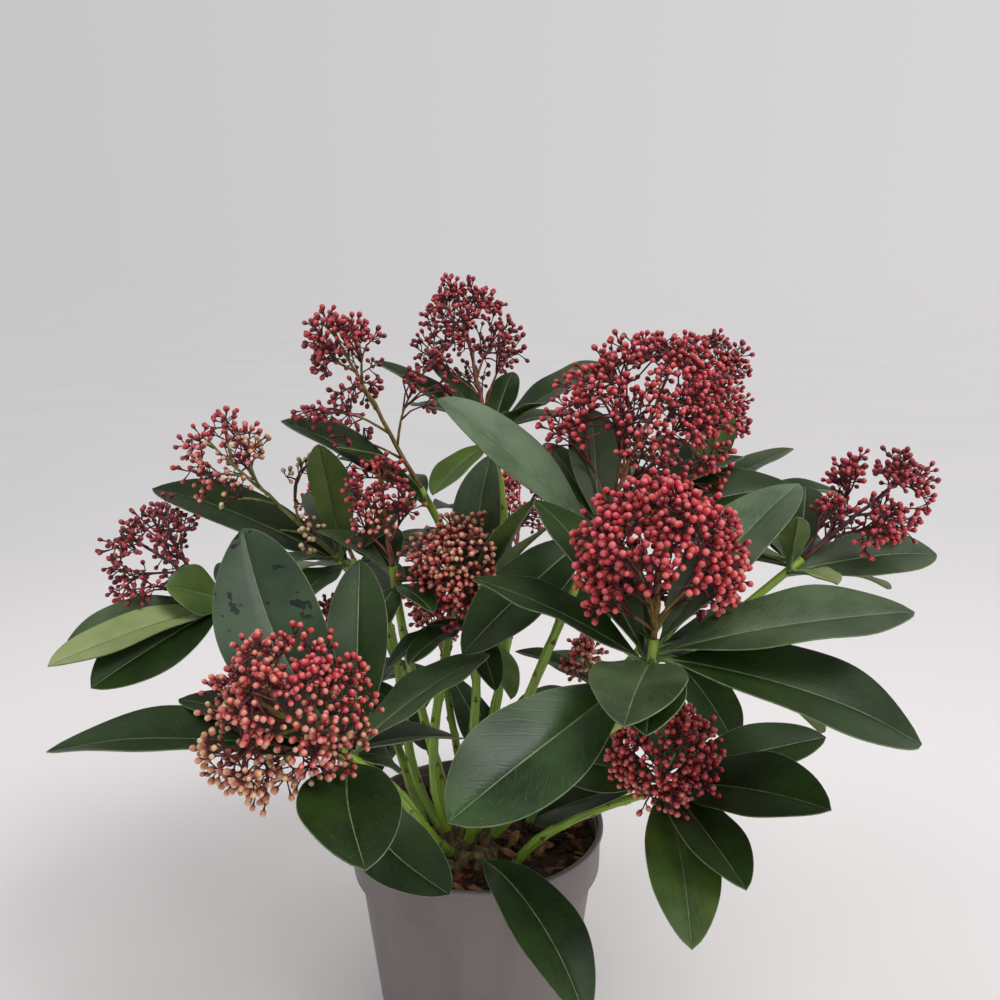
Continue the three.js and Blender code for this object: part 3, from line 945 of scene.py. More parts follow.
@dataclass
class Shoot:
    """One shoot: where its whorl is and points, how its stem leaves the crown, its leaves and its head.

    Ground is where its stem leaves the soil, if it doesn't leave the crown, pull is the share of the stem's
    span over which its tip keeps it straight, and woody is how far up the stem brown wood reaches, as a
    share of it.
    """

    name: str
    seed: int
    at: tuple[float, float, float]
    axis: tuple[float, float]
    foot: tuple[float, float]
    leaves: tuple[Leaf, ...]
    head: Head | None = None
    ground: tuple[float, float] | None = None
    pull: float = 0.34
    woody: float | None = None
    centre: Vector = field(init=False)
    tip_way: Vector = field(init=False)

    def __post_init__(self) -> None:
        """Works out the whorl's middle and the way its tip points."""
        self.centre = Vector(self.at)
        self.tip_way = way(*self.axis)


DEEP, WAXY, FRESH, WET, GLOSSY, PAINTED_SHEEN, PALE, LIME = Tint
REDS = (Bud.BRIGHT, Bud.BRIGHT, Bud.RED)
DARKS = (Bud.WINE, Bud.WINE, Bud.WINE, Bud.RED)


def spare_leaf(heading: float, pitch: float, length: float, tint: Tint = Tint.DEEP) -> Leaf:
    """A leaf that is left out where the solids have none."""
    return Leaf(heading, pitch, length, width=0.36, arch=28, spare=True, tint=tint)


def fan(start: float, end: float, count: int, pitch: float, length: float) -> tuple[Leaf, ...]:
    """Spare leaves spread evenly from one heading to another: by turns a drooping, a level and a rising one.

    Args:
        start: The first leaf's heading.
        end: The last leaf's heading.
        count: How many leaves there are.
        pitch: The pitch that they stand about.
        length: The length of the longest.

    Returns:
        The leaves.
    """
    return tuple(
        spare_leaf(
            lerp(start, end, i / max(count - 1, 1)), pitch + FAN_PITCHES[i % 3], length * FAN_LENGTHS[i % 3],
            (DEEP, DEEP, WAXY, DEEP, FRESH)[i % 5],
        )
        for i in range(count)
    )


SHOOTS = (
    Shoot(
        "far_left", 11, (-124, 10, 228), (178, 36), (172, 52),
        (
            Leaf(207, -5, 80, width=0.36, roll=-45, tint=WAXY),
            Leaf(226, -4, 92, width=0.26, roll=-14, tint=PALE),
            Leaf(231, -15, 78, width=0.4, roll=-34), Leaf(233, 26, 36, width=0.72, roll=-60, tint=FRESH),
            Leaf(95, 0, 62), *fan(60, 150, 4, 2, 64),
        ),
        Head(44, 34, 26, 6, low=-0.8, sprays=64, umbel=3, loose=0.3, axis=Axis.MAROON, buds=DARKS),
    ),
    Shoot(
        "left", 12, (-67, 23, 244), (186, 45), (144, 50),
        (
            Leaf(128, 10, 60), Leaf(176, 23, 108, roll=-20), Leaf(150, 5, 76), Leaf(257, -1, 58, tint=WAXY),
            Leaf(260, 66, 72, width=0.3), Leaf(100, 8, 58), Leaf(240, 10, 56, tint=WAXY),
            *fan(40, 120, 3, 12, 62),
        ),
        Head(
            76, 27, 30, 6, skirt=3, sprays=44, umbel=3, loose=0.3, axis=Axis.GREEN,
            buds=(Bud.RED, Bud.RED, Bud.ROSE, Bud.SALMON, Bud.PEACH, Bud.CREAM), pale=(0.75, 0, -0.66),
        ),
    ),
    Shoot(
        "mid_left", 13, (-24, 16, 279), (177, 62), (198, 24),
        (
            Leaf(192, 33, 84, roll=-20), Leaf(220, 34, 60), Leaf(232, -24, 46), *fan(70, 160, 3, -4, 60),
        ),
        Head(
            86, 20, 21, 4, skirt=4, flare=1.8, sprays=34, loose=0.15, axis=Axis.OLIVE,
            buds=(Bud.RED, Bud.RED, Bud.WINE, Bud.WINE),
        ),
    ),
    Shoot(
        "top", 14, (7, 57, 303), (126, 68), (60, 26),
        (
            Leaf(164, 33, 80), Leaf(144, 46, 56), Leaf(239, -19, 58, tint=FRESH), Leaf(73, 38, 52),
            Leaf(332, 31, 79, roll=30, width=0.38, tint=WAXY), Leaf(313, 26, 47, tint=FRESH), Leaf(30, 5, 60),
            *fan(85, 130, 2, 2, 72),
        ),
        Head(
            58, 32, 38, 8, low=-0.9, sprays=110, umbel=3, loose=0.25, cone=0.4,
            buds=(Bud.RED, Bud.WINE, Bud.WINE),
        ),
    ),
    Shoot(
        "mid_right", 15, (57, -31, 276), (35, 60), (-30, 20),
        (
            # The first leaf has the tint with the painted reflection.
            Leaf(194, 42, 97, roll=-45, width=0.29, tint=PAINTED_SHEEN), Leaf(12, 11, 97, roll=25),
            Leaf(90, 42, 74, tint=WAXY), Leaf(115, 30, 62), Leaf(210, -33, 86, roll=-30),
            Leaf(22, 18, 78), *fan(50, 160, 3, 2, 72),
        ),
        Head(
            58, 47, 45, 10, low=-0.9, sprays=210, umbel=4, loose=0.1, cone=0.3,
            buds=(Bud.RED, Bud.BRIGHT, Bud.RED),
        ),
    ),
    Shoot(
        "back_right", 16, (131, 99, 261), (66, 73), (45, 52),
        (Leaf(268, 58, 70), *fan(-40, 200, 9, 3, 80)),
        Head(60, 23, 45, 6, low=-0.8, sprays=104, umbel=4, buds=(Bud.WINE, Bud.RED, Bud.WINE, Bud.RED)),
    ),
    Shoot(
        "near", 17, (69, -114, 248), (60, 80), (-75, 30),
        (
            Leaf(124, 36, 90, roll=10), Leaf(147, 14, 84),
            Leaf(223, -14, 103, roll=-24, width=0.36, shoulder=1.5, bow=0.01, tint=GLOSSY),
            Leaf(254, 5, 66, width=0.5, tint=WAXY), Leaf(260, -3, 58, width=0.42),
            Leaf(357, -17, 108, roll=20, width=0.38), Leaf(8, 6, 105, roll=15, tint=WAXY),
            # The first leaf here has the tint with the painted reflection.
            Leaf(38, 33, 100, tint=PAINTED_SHEEN), Leaf(22, -29, 96), Leaf(31, -7, 94), *fan(70, 100, 2, 0, 74),
        ),
        Head(
            38, 36, 33, 9, low=-0.9, sprays=190, loose=0.05, fat=1.08, bare=(0.1, -0.66, -0.75),
            axis=Axis.OLIVE, buds=(*REDS, Bud.BRIGHT, Bud.BRIGHT, Bud.ROSE), pale=(0.6, 0, -0.8),
        ),
        pull=0.15,
    ),
    Shoot(
        "far_right", 18, (147, -21, 255), (12, 37), (-7, 43),
        (
            Leaf(12, 4, 80, roll=35, tint=WAXY), Leaf(281, 10, 46, tint=PALE), Leaf(259, 54, 38, tint=LIME),
            Leaf(50, 0, 60), Leaf(100, 10, 50), Leaf(71, 26, 60), *fan(20, 170, 5, 3, 68),
        ),
        Head(
            48, 27, 37, 7, low=-0.9, sprays=90, umbel=4, loose=0.4, axis=Axis.MAROON,
            buds=(Bud.WINE, Bud.RED, Bud.RED),
        ),
    ),
    Shoot(
        "low_right", 19, (87, -45, 160), (258, 52), (-14, 20),
        (
            Leaf(316, 14, 84, roll=22, width=0.46), Leaf(269, -13, 90, tint=FRESH), Leaf(285, -3, 80),
            Leaf(180, 12, 56, roll=-45, width=0.5, tint=GLOSSY), Leaf(4, 13, 78, roll=25),
            Leaf(140, -33, 88, roll=-25, width=0.38, bow=0.05), *fan(30, 100, 3, -4, 72),
        ),
        Head(29, 30, 24, 6, low=-0.8, sprays=90, loose=0.1, buds=(Bud.BRIGHT, Bud.BRIGHT, Bud.ROSE)),
        ground=(18, -31),
        pull=0.05,
    ),
    Shoot(
        "inner_left", 20, (-37, -22, 250), (235, 80), (128, 28),
        (
            Leaf(264, -7, 50), Leaf(300, -2, 40), Leaf(20, -10, 36), Leaf(140, 20, 44), Leaf(101, 21, 40),
            *fan(60, 160, 3, 0, 52),
        ),
        Head(
            38, 20, 27, 5, low=-0.8, sprays=34, umbel=4, loose=0.2, fat=0.88,
            buds=(Bud.RED, Bud.RED, Bud.ROSE, Bud.SALMON),
        ),
    ),
    Shoot(
        "inner", 21, (-2, -21, 230), (250, 68), (-60, 4),
        (
            Leaf(325, 62, 75, tint=FRESH), Leaf(332, 54, 65, tint=FRESH), Leaf(60, 78, 80, tint=WAXY),
            Leaf(291, 20, 42), Leaf(235, -8, 46), Leaf(290, -32, 42), Leaf(143, 2, 56), Leaf(205, -24, 46),
            Leaf(46, -61, 60), *fan(80, 120, 2, 2, 58),
        ),
        Head(
            29, 29, 29, 7, low=-0.8, sprays=140, loose=0.1, fat=0.92, axis=Axis.OLIVE,
            buds=(Bud.WINE, Bud.RED, Bud.ROSE, Bud.ROSE, Bud.SALMON, Bud.PEACH), pale=(0, 0, 1),
        ),
    ),
    Shoot(
        "low_left", 22, (-48, -98, 199), (222, 43), (244, 48),
        (
            Leaf(146, 56, 107, width=0.4, roll=-45, bow=0.07, tint=WET), Leaf(93, 57, 85, width=0.3),
            Leaf(184, 5, 120), Leaf(162, 10, 82), Leaf(282, -2, 74, width=0.5, bow=-0.05),
            Leaf(326, -40, 66, roll=17, width=0.44, bow=-0.17),
            Leaf(38, 20, 76, tint=WAXY), Leaf(67, -29, 46, roll=40, width=0.46), Leaf(55, -18, 80),
            *fan(110, 140, 2, -8, 68),
        ),
        Head(
            40, 38, 34, 9, low=-0.9, sprays=124, loose=0.12, axis=Axis.OLIVE,
            buds=(Bud.BRIGHT, Bud.ROSE, Bud.ROSE, Bud.SALMON, Bud.PEACH, Bud.PEACH), pale=(-0.45, 0, -0.9),
        ),
    ),
    Shoot("foot", 23, (1, -37, 116), (-75, 35), (-75, 55), (Leaf(300, -13, 96, arch=60),), woody=1.5),
    Shoot(
        "low_middle", 27, (70, 36, 166), (200, 62), (20, 32),
        (Leaf(215, 8, 62, tint=WAXY), *fan(-40, 200, 7, -3, 66)),
        Head(26, 14, 16, 3, sprays=20, loose=0.6, buds=(Bud.ROSE, Bud.SALMON)),
        ground=(30, 18),
    ),
    Shoot(
        "back_left", 24, (-72, 100, 218), (125, 45), (112, 52), fan(10, 330, 9, 1, 86),
        Head(40, 28, 26, 4, sprays=46),
    ),
    Shoot(
        "back", 25, (22, 128, 214), (85, 52), (80, 52), fan(-50, 230, 9, 1, 88),
        Head(38, 29, 27, 4, sprays=48, buds=REDS),
    ),
    Shoot(
        "right_inner", 26, (100, 40, 196), (20, 45), (19, 50), fan(-70, 130, 7, -2, 84),
        Head(36, 25, 24, 4, sprays=38),
    ),
    Shoot(
        "low_back", 28, (-20, 82, 160), (100, 42), (98, 42),
        (*fan(-30, 230, 9, -4, 80), spare_leaf(225, -42, 66), spare_leaf(305, -42, 66)),
        Head(34, 23, 21, 4, sprays=36, buds=(Bud.RED, Bud.ROSE, Bud.SALMON)),
        ground=(-6, 16),
    ),
    Shoot(
        "low_back_left", 29, (-66, 50, 170), (150, 40), (130, 44),
        (*fan(30, 290, 9, -3, 78), spare_leaf(290, -45, 60), spare_leaf(325, -30, 60)),
        Head(34, 23, 21, 4, sprays=34, buds=DARKS),
        ground=(-26, 4),
    ),
)


# ---------------------------------------------------------------- pot and soil


@dataclass
class Pot:
    """The round grower pot: a foot, a tapering body, a step up to a wider collar, and a rolled lip."""

    height: float = 115.0
    lip: float = 65.0
    collar: float = 63.6
    collar_foot: float = 92.5
    shoulder: float = 60.0
    body_foot: float = 51.0
    body_rise: float = 18.0
    foot: float = 48.0
    wall: float = 1.5
    floor: float = 2.0
    lip_depth: float = 3.0
    sides: int = 144
    drain_holes: int = 8
    drain_radius: float = 4.0
    drain_ring: float = 38.0

    def profile(self) -> list[tuple[float, float]]:
        """The pot's outline.

        Returns:
            Radius and height round the wall, from under the floor to its upper face.
        """
        top, foot_in = self.height, self.foot - self.wall
        lip_foot = top - self.lip_depth
        step_in = self.collar - self.wall
        return [
            (0, 1.2), (self.foot - 5, 1.2), (self.foot - 4, 0), (self.foot - 0.6, 0), (self.foot, 0.6),
            (self.foot + 0.4, self.body_rise - 2.4), (self.foot + 1, self.body_rise - 1.8),
            (self.body_foot - 0.5, self.body_rise - 0.6), (self.body_foot, self.body_rise),
            (self.shoulder - 0.3, self.collar_foot - 2.2), (self.shoulder, self.collar_foot - 1.2),
            (self.collar - 0.9, self.collar_foot - 0.1), (self.collar - 0.3, self.collar_foot + 0.8),
            (self.collar, lip_foot - 0.2), (self.collar + 0.4, lip_foot), (self.lip - 0.3, lip_foot + 0.3),
            (self.lip, lip_foot + 0.9), (self.lip, top - 1.1), (self.lip - 0.25, top - 0.4),
            (self.lip - 0.9, top), (step_in + 0.9, top), (step_in + 0.3, top - 0.3), (step_in, top - 1.2),
            (step_in - 0.1, top - 4.4), (step_in - 0.9, top - 4.9), (step_in - 1.0, top - 6.4),
            (step_in - 0.4, self.collar_foot + 1.2),
            (self.shoulder - self.wall, self.collar_foot - 2), (self.body_foot - self.wall, self.body_rise),
            (foot_in, self.body_rise - 3), (foot_in, self.floor), (0, self.floor),
        ]

    def build(self) -> bpy.types.Object:
        """Spins the profile and cuts the drain holes.

        Returns:
            The pot's piece.
        """
        bm = spun(self.profile(), self.sides)
        body = bpy.data.objects.new("pot_blank", mesh_of("pot_blank", bm))
        holes = bmesh.new()
        for i in range(self.drain_holes):
            turn = 2 * math.pi * (i + 0.5) / self.drain_holes
            made = bmesh.ops.create_cone(
                holes, cap_ends=True, segments=24, radius1=self.drain_radius, radius2=self.drain_radius,
                depth=12,
            )
            spot = Vector((math.cos(turn), math.sin(turn), 0)) * self.drain_ring
            bmesh.ops.translate(holes, vec=spot, verts=made["verts"])
        cutter = bpy.data.objects.new("pot_holes", mesh_of("pot_holes", holes))
        for thing in (body, cutter):
            bpy.context.scene.collection.objects.link(thing)
        cut = body.modifiers.new("drain", "BOOLEAN")
        cut.operation, cut.solver, cut.object = "DIFFERENCE", "EXACT", cutter
        ready = body.evaluated_get(bpy.context.evaluated_depsgraph_get())
        mesh = bpy.data.meshes.new_from_object(ready)
        for thing in (body, cutter):
            bpy.data.objects.remove(thing)
        piece = finish_piece("grower_pot", mesh, [POT_PLASTIC], ["pot"])
        mesh.set_sharp_from_angle(angle=math.radians(38))
        return piece


def spun(profile: Sequence[tuple[float, float]], sides: int) -> bmesh.types.BMesh:
    """Turns a profile a full turn round Z into a closed shell.

    Args:
        profile: The radius and height of each point.
        sides: How many sides the shell has.

    Returns:
        The shell.
    """
    bm = bmesh.new()
    verts = [bm.verts.new((radius, 0, height)) for radius, height in profile]
    edges = [bm.edges.new(pair) for pair in zip(verts, verts[1:])]
    bmesh.ops.spin(
        bm, geom=[*verts, *edges], cent=(0, 0, 0), axis=(0, 0, 1), angle=2 * math.pi, steps=sides,
        use_merge=True,
    )
    bmesh.ops.remove_doubles(bm, verts=bm.verts, dist=0.001)
    bmesh.ops.dissolve_degenerate(bm, edges=bm.edges, dist=0.0005)
    bmesh.ops.recalc_face_normals(bm, faces=bm.faces)
    return bm


@dataclass
class Soil:
    """The potting mix that fills the pot, and the bark chips that lie on it, round the crown."""

    pot: Pot
    crown: "Crown"
    level: float = 103.0
    radius: float = 61.4
    gap: float = 0.4
    rings: int = 26
    sides: int = 110
    chips: int = 620

    def height(self, x: float, y: float) -> float:
        """The surface's height at a place.

        Args:
            x: The place, in millimetres to the right of the middle.
            y: The place, in millimetres behind the middle.

        Returns:
            The height, in millimetres.
        """
        spot = Vector((x, y, 3.0))
        waves = ((0.09, 1.6), (0.32, 1.1), (0.9, 0.5))
        lumps = sum(noise.noise(spot * rate) * depth for rate, depth in waves)
        edge = smooth((self.radius - math.hypot(x, y)) / 9)
        return self.level - 0.7 + lumps * (0.45 + 0.55 * edge)

    def build(self) -> None:
        """Makes the lumpy plug of mix, then scatters the chips."""
        pot, inset = self.pot, self.pot.wall + self.gap
        steps = [(self.radius * i / self.rings, self.level) for i in range(self.rings + 1)]
        foot, floor = pot.foot - inset, pot.floor + 0.3
        wall = [
            (self.radius - 0.1, pot.collar_foot + 1.5), (pot.shoulder - inset, pot.collar_foot - 1.8),
            (pot.body_foot - inset, pot.body_rise), (foot, pot.body_rise - 3), (foot, floor), (0, floor),
        ]
        bm = spun([*steps, *wall], self.sides)
        for vert in bm.verts:
            if vert.co.z > self.level - 1:
                vert.co.z = self.height(vert.co.x, vert.co.y)
        mesh = mesh_of("potting_mix", bm)
        finish_piece("potting_mix", mesh, [POTTING_MIX], ["potting_soil"])
        self.scatter()

    def scatter(self) -> None:
        """Lays angular chips and crumbs of three tones flat on the mix."""
        dice, chips = Dice(31), Joined()
        bm = bmesh.new()
        bmesh.ops.create_cube(bm, size=2)
        bmesh.ops.bevel(
            bm, geom=bm.edges, offset=0.28, offset_type="OFFSET", affect="EDGES", segments=1, profile=0.5,
            material=-1,
        )
        chip = Template.of(bm)
        for i in range(self.chips):
            out = self.radius * math.sqrt(dice(0.0, 0.93))
            turn = dice(0, 2 * math.pi)
            x, y = out * math.cos(turn), out * math.sin(turn)
            crumb = i % 5 > 1
            long = dice(0.9, 2.2) if crumb else dice(2.2, 5.6)
            size = np.array([long, long * dice(0.25, 0.6), dice(0.3, 0.8) if crumb else dice(0.5, 1.1)])
            spin, lean = dice(0, 2 * math.pi), dice(-0.5, 0.5)
            flat = math.cos(lean)
            forward = Vector((math.cos(spin) * flat, math.sin(spin) * flat, math.sin(lean)))
            side = Vector((-math.sin(spin), math.cos(spin), dice(-0.5, 0.5))).normalized()
            up = forward.cross(side).normalized()
            axes = np.array([forward, up.cross(forward), up])
            skew = np.array([[dice(0.7, 1.25) for _ in range(3)] for _ in range(len(chip.points))])
            finish = 2 if crumb and dice() < 0.6 else dice.pick((0, 0, 1, 2, 2))
            tilt_room = abs(math.sin(lean)) * long * 0.5
            on_crown = math.hypot(x - self.crown.x, y - self.crown.y) < self.crown.radius - 1
            if out + long > self.radius - 0.6 or on_crown:
                continue
            centre = np.array([x, y, self.height(x, y) + size[2] * 0.3 + tilt_room])
            chips.add(chip, chip.points * skew * size @ axes + centre, finish)
        finish_piece("bark_chips", chips.mesh("bark_chips"), CHIPS, [])


# ---------------------------------------------------------------- crown and stems


@dataclass
class Crown:
    """The knobbly woody crown at soil level that most stems leave."""

    x: float = -6.0
    y: float = -13.0
    radius: float = 16.0
    height: float = 11.0
    flare: float = 2.5
    knobs: float = 2.6
    ground: float = 103.3

    def middle(self) -> Vector:
        """The middle of the ball that the crown is cut from."""
        return Vector((self.x, self.y, self.ground + self.height - self.radius))

    def build(self) -> None:
        """Shapes a ball with knobs and fissures, and cuts it flat just under the soil's surface."""
        bm = bmesh.new()
        bmesh.ops.create_icosphere(bm, subdivisions=5, radius=self.radius)
        middle = self.middle()
        for vert in bm.verts:
            flare = self.flare * clamp(1 - (middle.z + vert.co.z - self.ground) / self.height, 0, 1)
            lumps = noise.noise(vert.co * 0.16) * self.knobs + noise.noise(vert.co * 0.45) * 1.1
            cracks = abs(noise.noise(Vector((vert.co.x * 0.9, vert.co.y * 0.9, vert.co.z * 0.35)))) * 1.3
            vert.co *= 1 + (flare - 1.0 + lumps - cracks) / self.radius
            vert.co += middle
        geom = [*bm.verts, *bm.edges, *bm.faces]
        cut = bmesh.ops.bisect_plane(
            bm, geom=geom, plane_co=(0, 0, self.ground - 1.5), plane_no=(0, 0, 1), clear_inner=True
        )
        rim = [item for item in cut["geom_cut"] if isinstance(item, bmesh.types.BMEdge)]
        bmesh.ops.contextual_create(bm, geom=rim)
        bmesh.ops.recalc_face_normals(bm, faces=bm.faces)
        finish_piece("woody_crown", mesh_of("woody_crown", bm), [CROWN_WOOD], ["crown"])


@dataclass
class Stem:
    """A stem from the crown to its whorl, with faintly ridged bark, swollen nodes and old leaf scars."""

    shoot: Shoot
    crown: Crown
    clear: float = 1.8
    foot_girth: float = 2.5
    tip_girth: float = 1.9
    foot_pull: float = 0.4
    steps: int = 46
    sides: int = 14
    woody: float = 0.07

    def path(self) -> list[Vector]:
        """The stem's middle line, from inside the crown to the top of the whorl.

        Returns:
            The points, in millimetres.
        """
        shoot = self.shoot
        lean = way(shoot.foot[0], 90 - shoot.foot[1])
        if shoot.ground:
            rise = self.foot_girth * math.sin(math.radians(shoot.foot[1]))
            start = Vector((*shoot.ground, self.crown.ground + rise))
        else:
            start = self.crown.middle() + lean * (self.crown.radius + self.clear)
        end = shoot.centre - shoot.tip_way * (WHORL_HALF + NODE_GAP)
        span = (end - start).length
        bend = [start, start + lean * span * self.foot_pull, end - shoot.tip_way * span * shoot.pull, end]
        inside = [start - lean * 5, start - lean * 2.4]
        tip = [shoot.centre, shoot.centre + shoot.tip_way * (WHORL_HALF - 1)]
        return [*inside, *curved(bend, self.steps), *tip]

    def build(self) -> tuple[bmesh.types.BMesh, Joined]:
        """Makes the stem's mesh and adds its scars.

        Returns:
            The stem in millimetres, and its scars.
        """
        path, dice = self.path(), Dice(self.shoot.seed + 40)
        last = len(path) - 1
        scars = self.scar_places(path, dice)
        bm = bmesh.new()
        bmesh.ops.create_cone(bm, cap_ends=True, segments=self.sides, radius1=1, radius2=1, depth=1)
        upright = [e for e in bm.edges if abs(e.verts[0].co.z - e.verts[1].co.z) > 0.5]
        bmesh.ops.subdivide_edges(bm, edges=upright, cuts=last - 1)
        sides = frames_along(path)
        spots = {}
        for vert in bm.verts:
            share = clamp(vert.co.z + 0.5, 0, 1)
            i = round(share * last)
            turn = math.atan2(vert.co.y, vert.co.x)
            spots[vert] = (turn / (2 * math.pi) + 0.5, share)
            girth = self.girth(share) + self.swelling(i, turn, scars)
            girth *= 1 + 0.02 * math.cos(5 * turn + share * 4) + 0.05 * noise.noise(path[i] * 0.35 + vert.co)
            vert.co = path[i] + (sides[i][0] * math.cos(turn) + sides[i][1] * math.sin(turn)) * girth
        layer = bm.loops.layers.uv.new("bark")
        for face in bm.faces:
            shares = [spots[loop.vert] for loop in face.loops]
            seam = max(s[0] for s in shares) - min(s[0] for s in shares) > 0.5
            for loop, (around, along) in zip(face.loops, shares):
                loop[layer].uv = (around + 1 if seam and around < 0.5 else around, along)
            if max(s[1] for s in shares) < (self.shoot.woody or self.woody) and not self.shoot.ground:
                face.material_index = 1
        return bm, self.scars(path, sides, scars)

    def girth(self, share: float) -> float:
        """The stem's radius at a share of its length, flared a little where it leaves the crown."""
        return lerp(self.foot_girth, self.tip_girth, share) + 0.9 * smooth(1 - share / 0.08)

    def scar_places(self, path: Sequence[Vector], dice: Dice) -> list[tuple[int, float]]:
        """Where leaves have been.

        Args:
            path: The stem's middle line.
            dice: Gives the first turn and the spacings.

        Returns:
            A step of the path and an angle round it, for each.
        """
        places, turn, i = [], dice(0, 6.28), 6
        while i < len(path) - 6:
            places.append((i, turn))
            turn += math.radians(GOLDEN_ANGLE)
            spacing = dice(6, 13) if dice() < 0.7 else dice(2, 4)
            i += max(1, round(spacing / max((path[i + 1] - path[i]).length, 0.5)))
        return places

    def swelling(self, i: int, turn: float, scars: Sequence[tuple[int, float]]) -> float:
        """How far the bark stands up at a node next to a place.

        Args:
            i: The place's step of the path.
            turn: Its angle round the path.
            scars: The steps and angles of the leaf scars.

        Returns:
            The height, in millimetres.
        """
        found = 0.0
        for step, angle in scars:
            if abs(step - i) <= 1:
                facing = math.cos(turn - angle)
                found = max(found, 0.35 * max(facing, 0.15) * (1 if step == i else 0.6))
        return found

    def scars(
        self,
        path: Sequence[Vector],
        sides: Sequence[tuple[Vector, Vector]],
        places: Sequence[tuple[int, float]],
    ) -> Joined:
        """A corky oval cushion at each place, with a tiny resting bud over it.

        Args:
            path: The stem's middle line.
            sides: Two directions square to it at each step.
            places: The steps and angles of the leaf scars.

        Returns:
            The cushions and buds.
        """
        bm = bmesh.new()
        bmesh.ops.create_uvsphere(bm, u_segments=8, v_segments=5, radius=1)
        ball = Template.of(bm)
        made, last = Joined(), len(path) - 1
        for i, angle in places:
            along = (path[i + 1] - path[i - 1]).normalized()
            out = sides[i][0] * math.cos(angle) + sides[i][1] * math.sin(angle)
            round_way = along.cross(out)
            spot = path[i] + out * (self.girth(i / last) + 0.2)
            axes = np.array([out * 0.45, round_way * 1.25, along * 0.8])
            made.add(ball, ball.points @ axes + np.array(spot), 2)
            eye = spot + along * 1.35 + out * 0.1
            axes = np.array([out * 0.55, round_way * 0.6, along * 0.85])
            made.add(ball, ball.points @ axes + np.array(eye), 3)
        return made


class Stems:
    """All the stems of the plant."""

    def __init__(self, crown: Crown) -> None:
        """Takes the crown that they leave."""
        self.crown = crown
        self.trees: list[BVHTree] = []

    def build(self, shoots: Sequence[Shoot]) -> None:
        """Makes one piece of each stem, with its scars joined to it.

        Args:
            shoots: The shoots that they belong to.
        """
        for shoot in shoots:
            name = f"bark_{shoot.name}"
            bm, scars = Stem(shoot, self.crown).build()
            bmesh.ops.triangulate(bm, faces=[f for f in bm.faces if len(f.verts) > 4])
            self.trees.append(BVHTree.FromBMesh(bm))
            mesh = mesh_of(name, bm)
            if scars.count:
                mesh = with_joined(mesh, scars.mesh(name + "_scars"))
            finishes = [STEM_BARK, CROWN_WOOD, SCAR_CORK, LEAF_STALK]
            finish_piece(name, mesh, finishes, [f"stem_{shoot.name}"])


def with_joined(mesh: bpy.types.Mesh, extra: bpy.types.Mesh) -> bpy.types.Mesh:
    """Adds one mesh's faces to another, with their material numbers.

    Args:
        mesh: The mesh that gets them.
        extra: The mesh that gives them, and is then removed.

    Returns:
        The mesh that got them.
    """
    bm = bmesh.new()
    bm.from_mesh(mesh)
    bm.from_mesh(extra)
    bm.to_mesh(mesh)
    bm.free()
    bpy.data.meshes.remove(extra)
    return mesh


# ---------------------------------------------------------------- leaves


